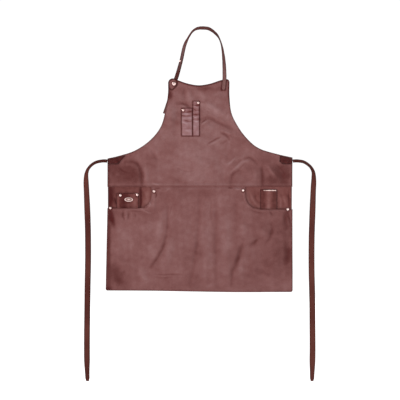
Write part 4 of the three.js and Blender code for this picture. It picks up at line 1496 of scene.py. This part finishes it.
# The folds of the part of each bag that shows in the pocket's mouth; their tone is painted shade in the
# valleys and painted light on the ridges.
FACING_FOLDS = {
    "left": [
        ([(-246, -640), (-245, -690), (-247, -724)], 4.2, -4.2, -3.4),
        ([(-234, -650), (-232, -684), (-236, -720)], 6.0, 1.4, 0.2),
        ([(-216, -640), (-220, -690), (-232, -716)], 12.0, 0.6, 1.5),
        ([(-350, -682), (-343, -700), (-334, -722)], 3.4, -2.0, -2.4),
        ([(-360, -690), (-352, -716)], 4.0, 1.0, 0.5),
        ([(-366, -640), (-366, -716)], 11.0, -1.2, -2.3),
        ([(-320, -646), (-290, -650), (-262, -646)], 4.0, 1.0, 0.3),
    ],
    "right": [
        ([(194, -660), (204, -690), (226, -716)], 6.0, 1.6, 1.1),
        ([(212, -650), (214, -680), (228, -700)], 4.4, -1.4, -0.6),
        ([(180, -646), (184, -684), (200, -712)], 7.0, 0.4, 0.7),
        ([(306, -664), (316, -690), (314, -720)], 5.0, 1.4, 0.9),
        ([(326, -676), (334, -706)], 5.0, 1.3, 0.9),
        ([(345, -650), (347, -690), (350, -720)], 3.6, -1.6, -1.3),
    ],
}


def bag_middle(x, z, side):
    """The pocket bag's leather: sewn to the skirt's back all round and full behind it. Over the pocket's
    mouth its top is sewn under the bib's foot."""
    bag = HIP[side]
    d_side = np.minimum(x - bag["x0"], bag["x1"] - x)
    d = np.minimum(d_side, z - HIP_BOTTOM)
    full = step_up(d, 3, 46)
    top = step_up(HIP_TOP - z, 0, 34)
    depth = 2.0 + full * (0.9 + 2.6 * top)
    folds, _ = fold_field(np.stack([x, z], 1), FACING_FOLDS[side])
    sag = 0.5 * waves(x, z, 70, 71) + 0.25 * waves(x, z, 26, 72)
    free = -drape(x, z) + depth - 0.6 * folds * step_up(z, -760, -724) + sag * full * 0.8
    mouth_left, mouth_right, _ = bag["mouth"]
    open_x = step_up(mouth_right - x, 4, 10) if side == "left" else step_up(x - mouth_left, 4, 10)
    share = open_x * step_up(z, -650, -637)
    under_bib = bib_middle(x, z) + (PANEL_T + POCKET_T) / 2 + 0.08
    return free * (1 - share) + under_bib * share


def bag_tone(x, z, side):
    # Painted shade in the folds' valleys and painted light on their ridges; darker towards the mouth's outer
    # end, and a band of painted shade along the mouth's lowest edge, in the crevice where the bag meets the
    # skirt's edge.
    _, tone = fold_field(np.stack([x, z], 1), FACING_FOLDS[side])
    bag = HIP[side]
    mouth_left, mouth_right, floor = bag["mouth"]
    outer, base, dark = (x - mouth_left, -0.42, 1.1) if side == "left" else (mouth_right - x, 0.05, 0.6)
    tone = tone + base - dark * bell(outer, 9)
    return tone - 0.5 * bell(z - floor, 4) + 0.2 * waves(x, z, 28, 73)


# Each coin pocket: left, lower, right and upper edge, and its rivets.
COIN = {
    "left": ((-343, -762, -253.5, -661.5), [(-327, -670), (-259.5, -668)]),
    "right": ((233, -762, 301, -647), []),
}
# The depths below the origin between which it goes down behind the skirt.
COIN_TUCK = (690, 716)
COIN_WRINKLES = {
    "left": [(-694, 2.0, 4.0, -0.8), (-704, 1.0, 4.0, 0.8), (-716, -2.0, 4.0, -0.6)],
    "right": [(-690, 1.0, 6.0, 0.5), (-712, -2.0, 5.0, -0.5)],
}

# The pocket's own tone, and soft upright bands of light and shade: where across it, half width, amount.
COIN_BANDS = {
    "left": (-0.5, [(0.82, 0.10, 0.9), (0.33, 0.16, -1.3), (0.09, 0.07, 0.8)]),
    "right": (-0.85, [(0.5, 0.17, 1.8)]),
}


def coin_base(x, z, side):
    """The coin pocket's edges lie on the bag, and its foot goes down behind the skirt."""
    behind_skirt = -drape(x, z) + PANEL_T / 2 + POCKET_T / 2 + 0.5
    free = bag_middle(x, z, side) - POCKET_T - 0.5
    share = step_up(-z, *COIN_TUCK)
    return free * (1 - share) + np.maximum(free, behind_skirt + 0.3) * share


def coin_middle(x, z, side):
    box, rivets = COIN[side]
    x0, z0, x1, z1 = box
    u = np.clip((x - x0) / (x1 - x0), 0, 1)
    room = 1.6 * (1 - np.abs(2 * u - 1) ** 3) * (1 - step_up(-z, *COIN_TUCK))
    crumple = crossing_wrinkles(x, z, box, COIN_WRINKLES[side]) + 0.2 * waves(x, z, 20, 77)
    crumple = crumple * (1 - np.abs(2 * u - 1) ** 2) * (1 - 0.8 * step_up(-z, 700, 722))
    return coin_base(x, z, side) - (room + crumple) * pressed_by(x, z, rivets)


def coin_tone(x, z, side):
    (x0, _, x1, z1), rivets = COIN[side]
    u = (x - x0) / (x1 - x0)
    near = np.minimum(np.minimum(x - x0, x1 - x), z1 - z)
    tone = -1.2 * bell(near, 2.6) + 0.2 * waves(x, z, 24, 78) + rivet_shade(x, z, rivets)
    base, bands = COIN_BANDS[side]
    return tone + base + sum(amount * bell(u - middle, half_width) for middle, half_width, amount in bands)


def make_bag(side, looks):
    bag = HIP[side]
    outline = rectangle(bag["x0"], HIP_BOTTOM, bag["x1"], HIP_TOP, 3, 3.0)
    piece = make_sheet(f"hip_pocket_{side}_bag", outline, 2.7, lambda x, z: bag_middle(x, z, side), POCKET_T,
                       looks["facing"], lambda x, z: bag_tone(x, z, side), round_w=1.0, edge_w=1.4)
    attach(piece, "skirt", "pocket_leather", f"hip_pocket_back_{side}", f"hip_pocket_rim_{side}")


def make_coin_pocket(side, looks):
    box, _ = COIN[side]
    piece = make_sheet(f"coin_pocket_{side}_leather", rectangle(*box, 1.6, 1.6), 1.7,
                       lambda x, z: coin_middle(x, z, side), POCKET_T, looks["facing"],
                       lambda x, z: coin_tone(x, z, side), round_w=1.0, edge_w=1.4)
    attach(piece, "skirt", "pocket_leather", f"coin_pocket_{side}")


def make_pocket_stitches(side, looks):
    """Round the bag, seen from behind, and round and across the coin pocket."""
    def coin_front(x, z):
        return coin_middle(x, z, side) - POCKET_T / 2

    def bag_back(x, z):
        return bag_middle(x, z, side) + POCKET_T / 2

    bag = HIP[side]
    box, _ = COIN[side]
    x0, _, x1, z1 = box
    left, right, low = bag["x0"] + 5, bag["x1"] - 5, HIP_BOTTOM + 5
    around = [(left, HIP_TOP - 92), (left, low), (right, low), (right, HIP_TOP - 8)]
    rows = [
        (side_and_foot(box, 2.6, 3), coin_front, 1),
        (resample([(x0 + 4, z1 - 3), (x1 - 4, z1 - 3)], 2), coin_front, 1),
        (resample(around, 2), bag_back, -1),
    ]
    attach(make_stitches(f"hip_pocket_{side}_stitching", rows, looks["thread"]), "skirt", "pocket_leather")


def make_pocket_rivets(side, looks):
    for place in ("inner", "side"):
        x, z = HIP[side][place]
        y = value_at(skirt_middle, x, z)
        fasten(f"hip_rivet_{side}_{place}", RIVET, x, z, y - PANEL_T / 2 - 0.05,
               y + PANEL_T / 2 + POCKET_T + 1.3, looks["metal"], "skirt")
    for name, (x, z) in zip(("outer", "inner"), COIN[side][1]):
        y_front = value_at(coin_middle, x, z, side) - POCKET_T / 2 - 0.05
        y_back = value_at(bag_middle, x, z, side) + POCKET_T / 2 + 0.1
        fasten(f"coin_rivet_{name}", RIVET, x, z, y_front, y_back, looks["metal"], "skirt")


# ---- Small plates ----

# The middle and half axes of the oval badge on the left coin pocket.
BADGE_X, BADGE_Z, BADGE_A, BADGE_B = -293, -687, 17, 8.5
# The bar along the top of the right coin pocket: left, lower, right and upper edge.
BAR_BOX = (245.5, -652.7, 296.5, -648.3)


def make_plate(name, node, outline, step, front_of, thickness, dome, metal, tone):
    """A small metal plate with a raised rim. dome is how far its middle stands out, or sinks if below 0."""
    def middle(x, z):
        return front_of - thickness / 2 - dome * step_up(distance(x, z, outline, loop=True), 1.2, 2.6)

    piece = make_sheet(name, outline, step, middle, thickness, [metal] * 3, tone, round_w=0.9, edge_w=0.1)
    attach(piece, "skirt", "rose_gold", node)


def badge_tone(x, z):
    """A dark sunken field round a plain boss."""
    reach = np.hypot((x - BADGE_X) / BADGE_A, (z - BADGE_Z) / BADGE_B)
    field = step_up(0.78 - reach, -0.06, 0.06)
    boss = np.exp(-((reach / 0.34) ** 4))
    return -0.8 * field * (1 - boss)


def bar_tone(x, z):
    return -0.55 * bell(x - 250, 12) - 0.25 * bell(x - 276, 5)


def make_badge(metal):
    angles = np.radians(np.linspace(0, 360, 49)[:-1])
    oval = np.stack([BADGE_X + BADGE_A * np.cos(angles), BADGE_Z + BADGE_B * np.sin(angles)], 1)
    front = value_at(coin_middle, BADGE_X, BADGE_Z, "left") - POCKET_T / 2
    make_plate("badge_oval", "pocket_badge", oval, 0.9, front - 0.3, 1.2, -0.25, metal, badge_tone)


def make_bar(metal):
    x0, z0, x1, z1 = BAR_BOX
    front = value_at(coin_middle, (x0 + x1) / 2, (z0 + z1) / 2, "right") - POCKET_T / 2
    make_plate("bar_plate", "pocket_bar", rectangle(*BAR_BOX, 2.1, 1.0), 1.0, front - 0.4, 2.0, 0.3, metal,
               bar_tone)


# ---- Everything ----

def build():
    make_studio()
    looks = make_looks()
    for side in ("left", "right"):
        make_tie(side, looks["tie"])
    make_neck_strap(looks["strap"])
    make_bib(looks)
    make_skirt(looks)
    make_pen_pockets(looks)
    make_corner_tab(looks)
    for side in ("left", "right"):
        make_anchor(side, looks)
    for side in ("left", "right"):
        make_bag(side, looks)
        make_coin_pocket(side, looks)
        make_pocket_stitches(side, looks)
        make_pocket_rivets(side, looks)
    make_strap_stud(looks["metal"])
    make_badge(looks["metal"])
    make_bar(looks["metal"])


build()
